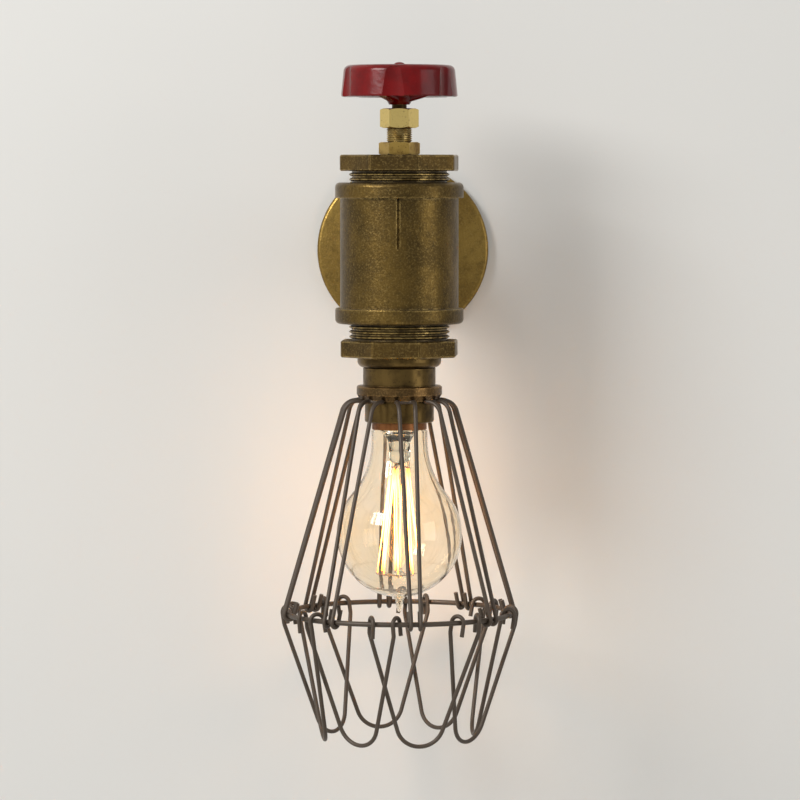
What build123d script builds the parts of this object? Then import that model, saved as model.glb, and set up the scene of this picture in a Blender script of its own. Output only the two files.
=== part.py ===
from build123d import *

import os
from math import acos, atan2, cos, degrees, hypot, pi, radians, sin, sqrt

# Industrial pipe wall light, in millimetres.
# The origin is the centre of the wall flange's back face. The wall is the plane Y = 0, the room is
# on its -Y side, and +Z is up. The lamp axis is vertical, WALL_TO_LAMP in front of the wall, and
# heights are counted from the middle of the tee, which is level with the flange.
WALL_TO_LAMP = 88.0
SKIN = 0.05  # radial clearance of a part that turns or slides in another

# Wall flange
FLANGE_D = 85.0
FLANGE_EDGE = 4.0
FLANGE_RISE = 2.6
FLANGE_HUB_D = 36.0
FLANGE_HUB_H = 20.0
FLANGE_EDGE_ROUND = 1.8
FLANGE_ROOT_ROUND = 3.0
FLANGE_HUB_CHAMFER = 1.0
FLANGE_LIP = 4.0
FLANGE_HOLES = 4
FLANGE_HOLE_D = 5.5
FLANGE_HOLE_CIRCLE = 66.0

# Branch pipe between flange and tee
BRANCH_THREAD_D = 26.4
BRANCH_PITCH = 1.81
BRANCH_ENGAGE = 13.0
CABLE_BORE_D = 20.0

# Tee casting
TEE_HEIGHT = 67.2
TEE_BODY_D = 56.4
TEE_BORE_D = 45.2
TEE_RIM_D = 61.2
TEE_RIM_H = 7.4
BRANCH_LENGTH = 40.0
BRANCH_BODY_D = 35.0
BRANCH_RIM_D = 41.0
BRANCH_RIM_H = 7.0
BEAD_ROUND = 2.2
BEAD_ROOT_ROUND = 0.6
BRANCH_ROOT_ROUND = 3.0
SEAM_WIDTH = 1.5
SEAM_DEPTH = 0.75
SEAM_LENGTH = 24.0

# Octagon bushings in the two ends of the tee
RUN_THREAD_D = 47.8
RUN_PITCH = 2.31
RUN_ENGAGE = 14.0
OCTAGON_CHAMFER = 0.6
OCTAGON_FLATS = 54.6
UPPER_OCTAGON_H = 7.7
UPPER_NECK = 5.5
UPPER_TURN = -4.7
UPPER_RECESS_D = 38.0
UPPER_ROOF = 9.0
LOWER_OCTAGON_H = 8.0
LOWER_NECK = 7.8
LOWER_TURN = -2.4
LOWER_BORE_D = 30.0

# Valve head on the upper bushing
BONNET_THREAD_D = 16.66
BONNET_BARREL_D = 15.0
BONNET_DEPTH = 18.5
BONNET_HEX = 17.0
BONNET_HEX_H = 6.0
NECK_THREAD_D = 12.2
NECK_PITCH = 1.0
NECK_SHOWN = 6.7
PACKING_NUT_HEX = 16.0
PACKING_NUT_H = 9.3
PACKING_NUT_ROOF = 2.5
STUFFING_D = 9.6
PACKING_H = 5.0
FOLLOWER_H = 3.3
STEM_D = 7.0
STEM_SQUARE = 5.0
STEM_THREAD_D = 10.0
STEM_LEAD = 2.5
STEM_TURNS = 3.0
STEM_TIP_D = 5.0
STEM_COLLAR = 8.0
BUTTON_D = 8.4
BUTTON_H = 2.9
BUTTON_NECK_D = 5.0
CARRIER_D = 15.5
CARRIER_FLOOR = 4.6
RETAINER_D = 12.0
RETAINER_H = 2.5
RUBBER_D = 14.0
RUBBER_H = 3.0
DISC_SCREW_D = 4.0
DISC_SCREW_HEAD_D = 7.5
DISC_SCREW_HEAD_H = 2.2
STOP_GAP = 0.3

# Handwheel
WHEEL_D = 55.6
WHEEL_RIM_H = 15.2
WHEEL_RIM_WIDTH = 7.4
WHEEL_FLARE = 1.5
WHEEL_ROUNDS = (1.2, 0.8, 3.0, 1.6)  # of the rim's inner foot, outer foot, outer top and inner top
WHEEL_LOBES = 6
LOBE_DEPTH = 2.0
LOBE_VALLEY_R = 11.0
WHEEL_RIM_LIFT = 3.5
WHEEL_GAP = 1.8
WHEEL_HUB_D = 13.8
WHEEL_HUB_FOOT_D = 9.8
WHEEL_HUB_H = 9.9
WHEEL_SPOKES = 3
FIRST_SPOKE = 85.0
SPOKE_WIDTH = 7.0
SPOKE_THICK = 4.2
SPOKE_RISE = 5.6
SPOKE_ROUND = 1.4
WASHER_D = 10.0
WASHER_H = 1.0
DOME_NUT_HEX = 8.0
DOME_NUT_HEX_H = 4.2
DOME_NUT_H = 9.3
DOME_NUT_ROOF = 3.2

# Lamp holder under the lower bushing
ADAPTER_THREAD_D = 33.2
ADAPTER_ENGAGE = 12.4
ADAPTER_BORE_D = 28.0
HOLDER_COLLAR_D = 40.0
HOLDER_COLLAR_H = 5.0
SPIGOT_D = 32.0
SPIGOT_H = 6.6
HOLDER_BODY_D = 34.6
HOLDER_BODY_H = 8.7
SKIRT_D = 33.0
SKIRT_H = 17.5
SKIRT_LIP_GAP = 0.3
SKIRT_LIP_H = 1.1
INSERT_D = 30.4
INSERT_RISE = 2.9
INSERT_WEB = 4.0
SHELL_WALL = 0.5
SHELL_FLANGE = 3.4
CONTACT_WIDTH = 6.0
CONTACT_THICK = 0.4
RIVET_D = 2.4
RIVET_HEAD_D = 3.2
RIVET_HEAD_H = 0.8
TERMINAL_H = 5.0
TERMINAL_WIDTH = 6.0
TERMINAL_FOOT_H = 1.2
LIVE_X = -5.0
NEUTRAL_X = 5.0
TERMINAL_SCREW_D = 3.0
TERMINAL_SCREW_HEAD_D = 5.2
TERMINAL_SCREW_HEAD_H = 2.0

# Leads and terminal block
LEAD_D = 2.4
LEAD_BEND = 5.0
BLOCK_LENGTH = 41.0
BLOCK_WIDTH = 12.0
BLOCK_H = 12.0
BLOCK_EAR = 9.0
BLOCK_EAR_H = 5.0
BLOCK_WIRE_H = 6.4
BLOCK_SCREW_D = 3.0
BLOCK_SCREW_HEAD_D = 5.6
BLOCK_SCREW_HEAD_H = 2.2
BLOCK_SCREW_DEPTH = 6.0
EARTH_SCREW_D = 4.0
EARTH_HEAD_D = 7.0
EARTH_HEAD_H = 2.6
EARTH_WASHER_D = 7.4
EARTH_WASHER_H = 0.8

# Bulb
BULB_D = 60.0
BULB_LENGTH = 107.0
CAP_D = 26.2
CAP_H = 26.5
CAP_SHELL_H = 22.0
CAP_WALL = 0.5
CAP_SHOWN = 3.4
CAP_FIT = 0.3
CAP_END_D = 11.0
CAP_BUTTON_D = 9.6
CAP_BUTTON_H = 1.0
GLASS_WALL = 0.9
GLASS_NECK_D = 26.8
GLASS_NECK_H = 6.0
GLASS_TAIL = 5.0
PIP_D = 6.4
PIP_TIP_D = 2.2
PIP_H = 7.4
MOUNT_ROD_D = 3.0
MOUNT_BASE_D = 10.0
FILAMENT_D = 0.5
FILAMENT_STRANDS = 16
FILAMENT_TOP = 19.0
FILAMENT_LENGTH = 50.0
FILAMENT_TOP_R = 4.6
FILAMENT_END_R = 10.6
SUPPORT_D = 0.4

# Wire guard
GUARD_COLLAR_D = 40.8
GUARD_COLLAR_H = 7.1
GUARD_COLLAR_BAND = 4.2
GUARD_COLLAR_FOOT_D = 36.4
WIRE_D = 2.0
RING_WIRE_D = 2.4
RING_D = 106.5
RING_DROP = 102.0
GUARD_PITCH = 45.0
FIRST_HAIRPIN = 9.2
FIRST_PETAL = 15.8
HAIRPIN_TOP_WIDTH = 8.4
HAIRPIN_END_WIDTH = 4.8
HAIRPIN_END_ROUND = 2.2
HAIRPIN_BEND = 7.0
HAIRPIN_SHOULDER = 20.4
HOOK_GAP = 0.05
HOOK_TAIL = 6.5
PETAL_HALF_SPAN = 28.8
PETAL_LENGTH = 60.1
PETAL_TIP_R = 11.2
PETAL_TILT = 9.3
PETAL_STUB = 5.0
PETAL_STUB_BEND = 5.0
EYE_R = 3.2
EYE_TAIL = 6.0

# Heights worked out from the sizes above
tee_half = TEE_HEIGHT / 2
octagon_top = tee_half + UPPER_NECK + UPPER_OCTAGON_H
octagon_foot = -(tee_half + LOWER_NECK + LOWER_OCTAGON_H)
collar_foot = octagon_foot - HOLDER_COLLAR_H
body_foot = collar_foot - HOLDER_BODY_H
skirt_foot = body_foot - SKIRT_H
glass_top = skirt_foot - CAP_SHOWN
guard_collar_foot = body_foot - GUARD_COLLAR_H
ring_z = guard_collar_foot - RING_DROP


def on_lamp_axis(shape, turn=0.0, z=0.0):
    """Carry a shape made about the Z axis to the lamp axis, turned from the front to the right."""
    return Pos(0, -WALL_TO_LAMP, z) * Rot(0, 0, turn) * shape


def turned(*outline):
    """A solid of revolution about Z from an outline of (radius, height) points."""
    points = [(radius, 0, height) for radius, height in outline]
    return revolve(make_face(Polyline(*points, close=True)), Axis.Z)


def turned_soft(outline, rounds):
    """A solid of revolution whose outline has each corner rounded by its own radius."""
    points = [(radius, 0, height) for radius, height in outline]
    return revolve(make_face(FilletPolyline(*points, radius=rounds, close=True)), Axis.Z)


def tube(outer_d, inner_d, low, high):
    """A plain ring between two heights."""
    return turned((inner_d / 2, low), (outer_d / 2, low), (outer_d / 2, high), (inner_d / 2, high))


def rod(diameter, low, high):
    """A plain round bar between two heights."""
    return Pos(0, 0, (low + high) / 2) * Cylinder(diameter / 2, high - low)


def hexagon(flats, low, high, chamfer_size=0.5):
    """A hexagon bar with a flat towards the front and its corners turned off at both ends."""
    corner_r = flats / 2 / cos(pi / 6)
    bar = Pos(0, 0, low) * extrude(RegularPolygon(corner_r, 6, rotation=0), high - low)
    turned_off = turned(
        (0, low), (corner_r - chamfer_size * 2, low), (corner_r, low + chamfer_size),
        (corner_r, high - chamfer_size), (corner_r - chamfer_size * 2, high), (0, high))
    return bar & turned_off


def octagon(flats, low, high):
    """An octagon bar with a flat towards the front."""
    corner_r = flats / 2 / cos(pi / 8)
    bar = extrude(RegularPolygon(corner_r, 8, rotation=22.5), high - low)
    bar = chamfer(bar.edges(), OCTAGON_CHAMFER)
    return Pos(0, 0, low) * bar


def thread(diameter, pitch, low, high):
    """A round bar whose side carries one ridge a pitch, each with flat crest and root."""
    crest = diameter / 2
    root = crest - 0.55 * pitch
    ridges = int((high - low) / pitch)
    margin = (high - low - ridges * pitch) / 2
    outline = [(0, low), (root, low)]
    for ridge in range(ridges):
        start = low + margin + ridge * pitch
        outline += [(root, start + 0.1 * pitch), (crest, start + 0.38 * pitch),
                    (crest, start + 0.62 * pitch), (root, start + 0.9 * pitch)]
    outline += [(root, high), (0, high)]
    return turned(*outline)


def pan_screw(diameter, head_d, head_h, shank, slot=0.8):
    """A slotted screw that points down, with the underside of its head at height 0."""
    head = fillet(rod(head_d, 0, head_h).edges().group_by(Axis.Z)[-1], head_h * 0.35)
    head -= Pos(0, 0, head_h) * Box(head_d + 1, slot, head_h * 0.9)
    return head + rod(diameter, -shank, 0)


def wire_along(path, diameter):
    """A round wire swept along a path of tangent lines and arcs."""
    profile = Plane(origin=path @ 0, z_dir=path % 0) * Circle(diameter / 2)
    return sweep(profile, path=path)


def make_flange():
    """The cast wall plate with its threaded hub, modelled up from the wall and laid back on it."""
    hub_r = FLANGE_HUB_D / 2
    edge_r = FLANGE_D / 2
    root = FLANGE_EDGE + FLANGE_RISE
    plate = turned((0, 0), (edge_r, 0), (edge_r, FLANGE_EDGE), (hub_r, root),
                   (hub_r, FLANGE_HUB_H), (0, FLANGE_HUB_H))
    outer_edge = plate.edges().filter_by(GeomType.CIRCLE).filter_by(
        lambda edge: abs(edge.radius - edge_r) < 0.01 and edge.center().Z > 1)
    plate = fillet(outer_edge, FLANGE_EDGE_ROUND)
    hub_root = plate.edges().filter_by(GeomType.CIRCLE).filter_by(
        lambda edge: abs(edge.radius - hub_r) < 0.01 and edge.center().Z < FLANGE_HUB_H - 1)
    plate = fillet(hub_root, FLANGE_ROOT_ROUND)
    plate = chamfer(plate.edges().group_by(Axis.Z)[-1], FLANGE_HUB_CHAMFER)
    plate -= rod(CABLE_BORE_D, 0, FLANGE_HUB_H)
    plate -= rod(BRANCH_THREAD_D, FLANGE_LIP, FLANGE_HUB_H)
    hole = rod(FLANGE_HOLE_D, -1, root + 1)
    plate -= PolarLocations(FLANGE_HOLE_CIRCLE / 2, FLANGE_HOLES, start_angle=45) * hole
    return Rot(90, 0, 0) * plate


def make_branch_nipple():
    """The short pipe that carries the tee: threaded at both ends, plain between, bored for cable."""
    wall_end = FLANGE_LIP
    room_end = WALL_TO_LAMP - BRANCH_LENGTH + BRANCH_ENGAGE
    shown = 6.0
    plain_low = FLANGE_HUB_H + shown
    plain_high = WALL_TO_LAMP - BRANCH_LENGTH - shown
    pipe = thread(BRANCH_THREAD_D, BRANCH_PITCH, wall_end, plain_low)
    pipe += rod(BRANCH_THREAD_D, plain_low, plain_high)
    pipe += thread(BRANCH_THREAD_D, BRANCH_PITCH, plain_high, room_end)
    pipe -= rod(CABLE_BORE_D, wall_end, room_end)
    return Rot(90, 0, 0) * pipe


def make_tee():
    """The cast tee: a beaded rim at each end, a beaded branch to the wall and a sunk seam in front."""
    half = TEE_HEIGHT / 2
    body = rod(TEE_BODY_D, -half, half)
    branch = Rot(-90, 0, 0) * rod(BRANCH_BODY_D, 0, BRANCH_LENGTH)
    casting = body + branch
    joint = casting.edges().filter_by(
        lambda edge: edge.geom_type not in (GeomType.CIRCLE, GeomType.LINE))
    casting = fillet(joint, BRANCH_ROOT_ROUND)
    for side in (-1, 1):
        rim = rod(TEE_RIM_D, half - TEE_RIM_H, half)
        rim = fillet(rim.edges().group_by(Axis.Z)[-1], BEAD_ROUND)
        rim = fillet(rim.edges().group_by(Axis.Z)[0], BEAD_ROOT_ROUND)
        casting += Rot(0 if side > 0 else 180, 0, 0) * rim
    branch_rim = rod(BRANCH_RIM_D, BRANCH_LENGTH - BRANCH_RIM_H, BRANCH_LENGTH)
    branch_rim = fillet(branch_rim.edges().group_by(Axis.Z)[-1], BEAD_ROUND)
    casting += Rot(-90, 0, 0) * branch_rim
    seam = Polyline((-SEAM_WIDTH, -SEAM_DEPTH), (SEAM_WIDTH, -SEAM_DEPTH), (0, SEAM_DEPTH), close=True)
    seam = extrude(make_face(seam), SEAM_LENGTH)
    casting -= Pos(0, -TEE_BODY_D / 2, half - TEE_RIM_H - SEAM_LENGTH) * seam
    casting -= rod(TEE_BORE_D, -half, half)
    for side in (-1, 1):
        casting -= Pos(0, 0, side * (half - RUN_ENGAGE / 2)) * Cylinder(RUN_THREAD_D / 2, RUN_ENGAGE)
    casting -= Rot(-90, 0, 0) * rod(CABLE_BORE_D, 0, BRANCH_LENGTH)
    casting -= Rot(-90, 0, 0) * rod(BRANCH_THREAD_D, BRANCH_LENGTH - BRANCH_ENGAGE, BRANCH_LENGTH)
    return on_lamp_axis(casting)


def bushing_blank(neck, octagon_h, turn):
    """An octagon bushing, its thread down: height 0 is the end face of the tee."""
    blank = thread(RUN_THREAD_D, RUN_PITCH, -RUN_ENGAGE, neck)
    return blank + Rot(0, 0, turn) * octagon(OCTAGON_FLATS, neck, neck + octagon_h)


def make_upper_bushing():
    """The upper bushing, hollow from below and tapped in the middle of its roof for the bonnet."""
    top = UPPER_NECK + UPPER_OCTAGON_H
    blank = bushing_blank(UPPER_NECK, UPPER_OCTAGON_H, UPPER_TURN)
    blank -= rod(UPPER_RECESS_D, -RUN_ENGAGE, top - UPPER_ROOF)
    blank -= rod(BONNET_THREAD_D, -RUN_ENGAGE, top)
    return on_lamp_axis(blank, z=tee_half)


def make_lower_bushing():
    """The lower bushing, made upside down: open for the leads, with two tapped holes for the block."""
    foot = LOWER_NECK + LOWER_OCTAGON_H
    blank = bushing_blank(LOWER_NECK, LOWER_OCTAGON_H, -LOWER_TURN)
    blank -= rod(LOWER_BORE_D, -RUN_ENGAGE, foot)
    blank -= rod(ADAPTER_THREAD_D, foot - ADAPTER_ENGAGE, foot)
    for x in block_screw_places():
        blank -= Pos(x, 0, 0) * rod(BLOCK_SCREW_D, -RUN_ENGAGE, -RUN_ENGAGE + BLOCK_SCREW_DEPTH)
    blank -= Pos(0, -rim_middle(), 0) * rod(EARTH_SCREW_D, -RUN_ENGAGE, -RUN_ENGAGE + BLOCK_SCREW_DEPTH)
    return on_lamp_axis(Rot(180, 0, 0) * blank, z=-tee_half)


def rim_middle():
    """Middle radius of the flat end of a bushing's thread, where the block and earth screw sit."""
    return (LOWER_BORE_D + RUN_THREAD_D - 1.1 * RUN_PITCH) / 4


def block_screw_places():
    """Where the block's two fixing screws stand, left and right of the lamp axis."""
    return (-rim_middle(), rim_middle())


# Heights in the valve head
hex_top = octagon_top + BONNET_HEX_H
nut_foot = hex_top + NECK_SHOWN
nut_top = nut_foot + PACKING_NUT_H
neck_top = nut_top - PACKING_NUT_ROOF
packing_foot = neck_top - FOLLOWER_H - PACKING_H
bonnet_foot = octagon_top - BONNET_DEPTH
stem_travel = STEM_LEAD * STEM_TURNS
thread_roof = packing_foot - STEM_COLLAR
carrier_top = bonnet_foot - stem_travel - STOP_GAP
button_top = carrier_top - RETAINER_H - STOP_GAP / 3
button_foot = button_top - BUTTON_H
carrier_foot = button_foot - STOP_GAP / 3 - CARRIER_FLOOR
hub_foot = nut_top + WHEEL_GAP
hub_top = hub_foot + WHEEL_HUB_H


def make_valve_head():
    """Bonnet, packing nut and what seals the stem between them: all stand still."""
    bonnet = rod(BONNET_BARREL_D, bonnet_foot, octagon_top - UPPER_ROOF)
    bonnet += rod(BONNET_THREAD_D, octagon_top - UPPER_ROOF, octagon_top)
    bonnet += hexagon(BONNET_HEX, octagon_top, hex_top)
    bonnet += thread(NECK_THREAD_D, NECK_PITCH, hex_top, neck_top)
    bonnet -= rod(STEM_THREAD_D + 2 * SKIN, bonnet_foot, thread_roof)
    bonnet -= rod(STEM_D + 2 * SKIN, thread_roof, packing_foot)
    bonnet -= rod(STUFFING_D, packing_foot, neck_top)
    nut = hexagon(PACKING_NUT_HEX, nut_foot, nut_top, 0.7)
    nut -= rod(NECK_THREAD_D, nut_foot, neck_top)
    nut -= rod(STEM_D + 4 * SKIN, neck_top, nut_top)
    packing = tube(STUFFING_D, STEM_D + 2 * SKIN, packing_foot, packing_foot + PACKING_H)
    follower = tube(STUFFING_D, STEM_D + 2 * SKIN, packing_foot + PACKING_H, neck_top)
    return {
        "valve_bonnet": on_lamp_axis(bonnet),
        "packing_nut": on_lamp_axis(nut),
        "gland_packing": on_lamp_axis(packing),
        "gland_follower": on_lamp_axis(follower),
    }


def make_stem_and_disc():
    """The rising stem, and the disc carrier that hangs on the button at its lower end."""
    thread_top = thread_roof - stem_travel - 1.0
    thread_foot = carrier_top + 1.0
    stem = rod(BUTTON_D, button_foot, button_top)
    stem += rod(BUTTON_NECK_D, button_top, thread_foot)
    stem += rod(STEM_THREAD_D, thread_foot, thread_top)
    stem += rod(STEM_D, thread_top, hub_foot)
    square = Box(STEM_SQUARE, STEM_SQUARE, WHEEL_HUB_H) & Cylinder(STEM_D / 2, WHEEL_HUB_H)
    stem += Pos(0, 0, (hub_foot + hub_top) / 2) * square
    tip_top = hub_top + WASHER_H + DOME_NUT_H - DOME_NUT_ROOF
    stem += rod(STEM_TIP_D, hub_top, tip_top)
    carrier = rod(CARRIER_D, carrier_foot, carrier_top)
    carrier = fillet(carrier.edges().group_by(Axis.Z)[0], 1.0)
    carrier -= rod(BUTTON_D + 4 * SKIN, button_foot - STOP_GAP / 3, carrier_top)
    carrier -= rod(RETAINER_D, carrier_top - RETAINER_H, carrier_top)
    carrier -= rod(DISC_SCREW_D, carrier_foot, button_foot)
    retainer = tube(RETAINER_D, BUTTON_NECK_D + 4 * SKIN, carrier_top - RETAINER_H, carrier_top)
    rubber_foot = carrier_foot - RUBBER_H
    rubber = tube(RUBBER_D, DISC_SCREW_D, rubber_foot, carrier_foot)
    screw_length = RUBBER_H + CARRIER_FLOOR - 0.6
    screw = pan_screw(DISC_SCREW_D, DISC_SCREW_HEAD_D, DISC_SCREW_HEAD_H, screw_length)
    screw = Pos(0, 0, rubber_foot) * Rot(180, 0, 0) * screw
    return {
        "valve_stem": on_lamp_axis(stem),
        "disc_carrier": on_lamp_axis(carrier),
        "disc_retainer": on_lamp_axis(retainer),
        "rubber_disc": on_lamp_axis(rubber),
        "disc_screw": on_lamp_axis(screw),
    }


def make_handwheel():
    """The scalloped wheel with its three dished spokes, and the washer and domed nut on it."""
    outer = WHEEL_D / 2
    inner = outer - WHEEL_RIM_WIDTH
    low = hub_foot + WHEEL_RIM_LIFT
    high = low + WHEEL_RIM_H
    rim = turned_soft([(inner, low + 1.5), (outer, low), (outer - WHEEL_FLARE, high), (inner + 0.8, high)],
                      WHEEL_ROUNDS)
    valley = rod(2 * LOBE_VALLEY_R, low - 1, high + 1)
    valley_centre = outer - LOBE_DEPTH + LOBE_VALLEY_R
    first_valley = FIRST_SPOKE - 90 + 180 / WHEEL_LOBES
    rim -= PolarLocations(valley_centre, WHEEL_LOBES, start_angle=first_valley) * valley
    hub = turned((0, hub_foot), (WHEEL_HUB_FOOT_D / 2, hub_foot), (WHEEL_HUB_D / 2, hub_foot + 3.4),
                 (WHEEL_HUB_D / 2, hub_top - 1.0), (WHEEL_HUB_D / 2 - 1.0, hub_top), (0, hub_top))
    arm_start = WHEEL_HUB_D / 4
    arm_end = inner + 2.0
    arm_low = hub_foot + 0.8
    arm = Polyline((arm_start, 0, arm_low), (arm_end, 0, arm_low + SPOKE_RISE),
                   (arm_end, 0, arm_low + SPOKE_RISE + SPOKE_THICK),
                   (arm_start, 0, arm_low + SPOKE_THICK + 1.0), close=True)
    arm = extrude(make_face(arm), SPOKE_WIDTH / 2, both=True)
    arm = fillet(arm.edges().filter_by(
        lambda edge: abs(abs(edge.center().Y) - SPOKE_WIDTH / 2) < 0.01 and edge.length > 8), SPOKE_ROUND)
    wheel = rim + hub
    for spoke in range(WHEEL_SPOKES):
        wheel += Rot(0, 0, FIRST_SPOKE - 90 + spoke * 360 / WHEEL_SPOKES) * arm
    wheel -= Pos(0, 0, (hub_foot + hub_top) / 2) * (
        Box(STEM_SQUARE, STEM_SQUARE, WHEEL_HUB_H) & Cylinder(STEM_D / 2, WHEEL_HUB_H))
    washer = tube(WASHER_D, STEM_TIP_D, hub_top, hub_top + WASHER_H)
    nut_base = hub_top + WASHER_H
    dome_r = DOME_NUT_HEX / 2 - 0.35
    shoulder = nut_base + DOME_NUT_HEX_H
    dome = rod(2 * dome_r, shoulder, nut_base + DOME_NUT_H)
    dome = fillet(dome.edges().group_by(Axis.Z)[-1], dome_r - 0.4)
    nut = hexagon(DOME_NUT_HEX, nut_base, shoulder, 0.3) + dome
    nut -= rod(STEM_TIP_D, nut_base, nut_base + DOME_NUT_H - DOME_NUT_ROOF)
    return {
        "handwheel": on_lamp_axis(wheel),
        "wheel_washer": on_lamp_axis(washer),
        "wheel_nut": on_lamp_axis(nut),
    }


# Heights in the lamp holder
insert_top = collar_foot + INSERT_RISE
web_foot = insert_top - INSERT_WEB
insert_foot = skirt_foot + SKIRT_LIP_H
shell_bore_d = CAP_D + 2 * CAP_FIT
shell_d = shell_bore_d + 2 * SHELL_WALL
neutral_rivet_x = (shell_bore_d - SHELL_FLANGE) / 2
terminal_wire_z = insert_top + TERMINAL_H * 0.55


def make_holder():
    """The brass holder: adapter with its rounded collar, sleeve, porcelain insert and metal parts."""
    adapter = rod(ADAPTER_THREAD_D, octagon_foot, octagon_foot + ADAPTER_ENGAGE)
    collar = rod(HOLDER_COLLAR_D, collar_foot, octagon_foot)
    collar = fillet(collar.edges().group_by(Axis.Z)[0], HOLDER_COLLAR_H * 0.6)
    adapter += chamfer(collar.edges().group_by(Axis.Z)[-1], 0.6)
    adapter += rod(SPIGOT_D, collar_foot - SPIGOT_H, collar_foot)
    adapter -= rod(ADAPTER_BORE_D, insert_top, octagon_foot + ADAPTER_ENGAGE)
    adapter -= rod(INSERT_D, collar_foot - SPIGOT_H, insert_top)
    sleeve = rod(HOLDER_BODY_D, body_foot, collar_foot)
    sleeve = chamfer(sleeve.edges().group_by(Axis.Z)[-1], 0.4)
    sleeve += rod(SKIRT_D, skirt_foot, body_foot)
    sleeve = fillet(sleeve.edges().group_by(Axis.Z)[0], 0.9)
    sleeve -= rod(SPIGOT_D, collar_foot - SPIGOT_H, collar_foot)
    sleeve -= rod(INSERT_D, insert_foot, collar_foot)
    sleeve -= rod(shell_d + 2 * SKIRT_LIP_GAP, skirt_foot, insert_foot)
    insert = rod(INSERT_D, insert_foot, insert_top)
    insert -= rod(shell_d, insert_foot, web_foot)
    for x in (LIVE_X, neutral_rivet_x):
        insert -= Pos(x, 0, 0) * rod(RIVET_D, web_foot, insert_top)
    shell = tube(shell_d, shell_bore_d, insert_foot, web_foot - SHELL_WALL)
    shell += tube(shell_d, shell_bore_d - 2 * SHELL_FLANGE, web_foot - SHELL_WALL, web_foot)
    shell -= Pos(neutral_rivet_x, 0, 0) * rod(RIVET_D, web_foot - SHELL_WALL, web_foot)
    return {
        "holder_adapter": on_lamp_axis(adapter),
        "holder_sleeve": on_lamp_axis(sleeve),
        "holder_insert": on_lamp_axis(insert),
        "screw_shell": on_lamp_axis(shell),
    }


def make_contacts():
    """What carries the current in the holder: spring contact, rivets, terminals and their screws."""
    cap_end = glass_top + CAP_H
    tongue_low = cap_end + 0.1
    flat = web_foot
    tongue = Polyline(
        (LIVE_X - 2.6, 0, flat), (LIVE_X + 2.6, 0, flat), (1.6, 0, tongue_low + CONTACT_THICK),
        (3.6, 0, tongue_low + CONTACT_THICK), (3.6, 0, tongue_low), (1.4, 0, tongue_low),
        (LIVE_X + 2.4, 0, flat - CONTACT_THICK), (LIVE_X - 2.6, 0, flat - CONTACT_THICK), close=True)
    contact = extrude(make_face(tongue), CONTACT_WIDTH / 2, both=True)
    contact -= Pos(LIVE_X, 0, 0) * rod(RIVET_D, flat - CONTACT_THICK, flat)
    terminals = {}
    for name, x, reach in (("live_terminal", LIVE_X, LIVE_X - TERMINAL_WIDTH / 2),
                           ("neutral_terminal", NEUTRAL_X, neutral_rivet_x + RIVET_HEAD_D / 2)):
        side = 1 if x > 0 else -1
        block = Pos(x, 0, insert_top + TERMINAL_H / 2) * Box(TERMINAL_WIDTH, 8, TERMINAL_H)
        foot_x = (x + reach) / 2
        block += Pos(foot_x, 0, insert_top + TERMINAL_FOOT_H / 2) * Box(abs(reach - x), 5, TERMINAL_FOOT_H)
        block -= Pos(x, -4, terminal_wire_z) * Rot(90, 0, 0) * Cylinder(LEAD_D / 2, 10)
        block -= Pos(x, -1.5, 0) * rod(TERMINAL_SCREW_D, terminal_wire_z, insert_top + TERMINAL_H)
        rivet_x = LIVE_X if side < 0 else neutral_rivet_x
        block -= Pos(rivet_x, 0, 0) * rod(RIVET_D, insert_top, insert_top + TERMINAL_FOOT_H)
        terminals[name] = on_lamp_axis(block)
    screws = []
    for x in (LIVE_X, NEUTRAL_X):
        depth = insert_top + TERMINAL_H - terminal_wire_z - LEAD_D / 2
        screw = pan_screw(TERMINAL_SCREW_D, TERMINAL_SCREW_HEAD_D, TERMINAL_SCREW_HEAD_H, depth)
        screws.append(on_lamp_axis(Pos(x, -1.5, insert_top + TERMINAL_H) * screw))
    rivets = []
    for x, under in ((LIVE_X, flat - CONTACT_THICK), (neutral_rivet_x, web_foot - SHELL_WALL)):
        shank = rod(RIVET_D, under, insert_top + TERMINAL_FOOT_H)
        head = rod(RIVET_HEAD_D, under - RIVET_HEAD_H, under)
        rivets.append(on_lamp_axis(Pos(x, 0, 0) * (shank + head)))
    return {
        "centre_contact": on_lamp_axis(contact),
        "terminal_screws": Compound(screws),
        "contact_rivets": Compound(rivets),
    } | terminals


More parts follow.
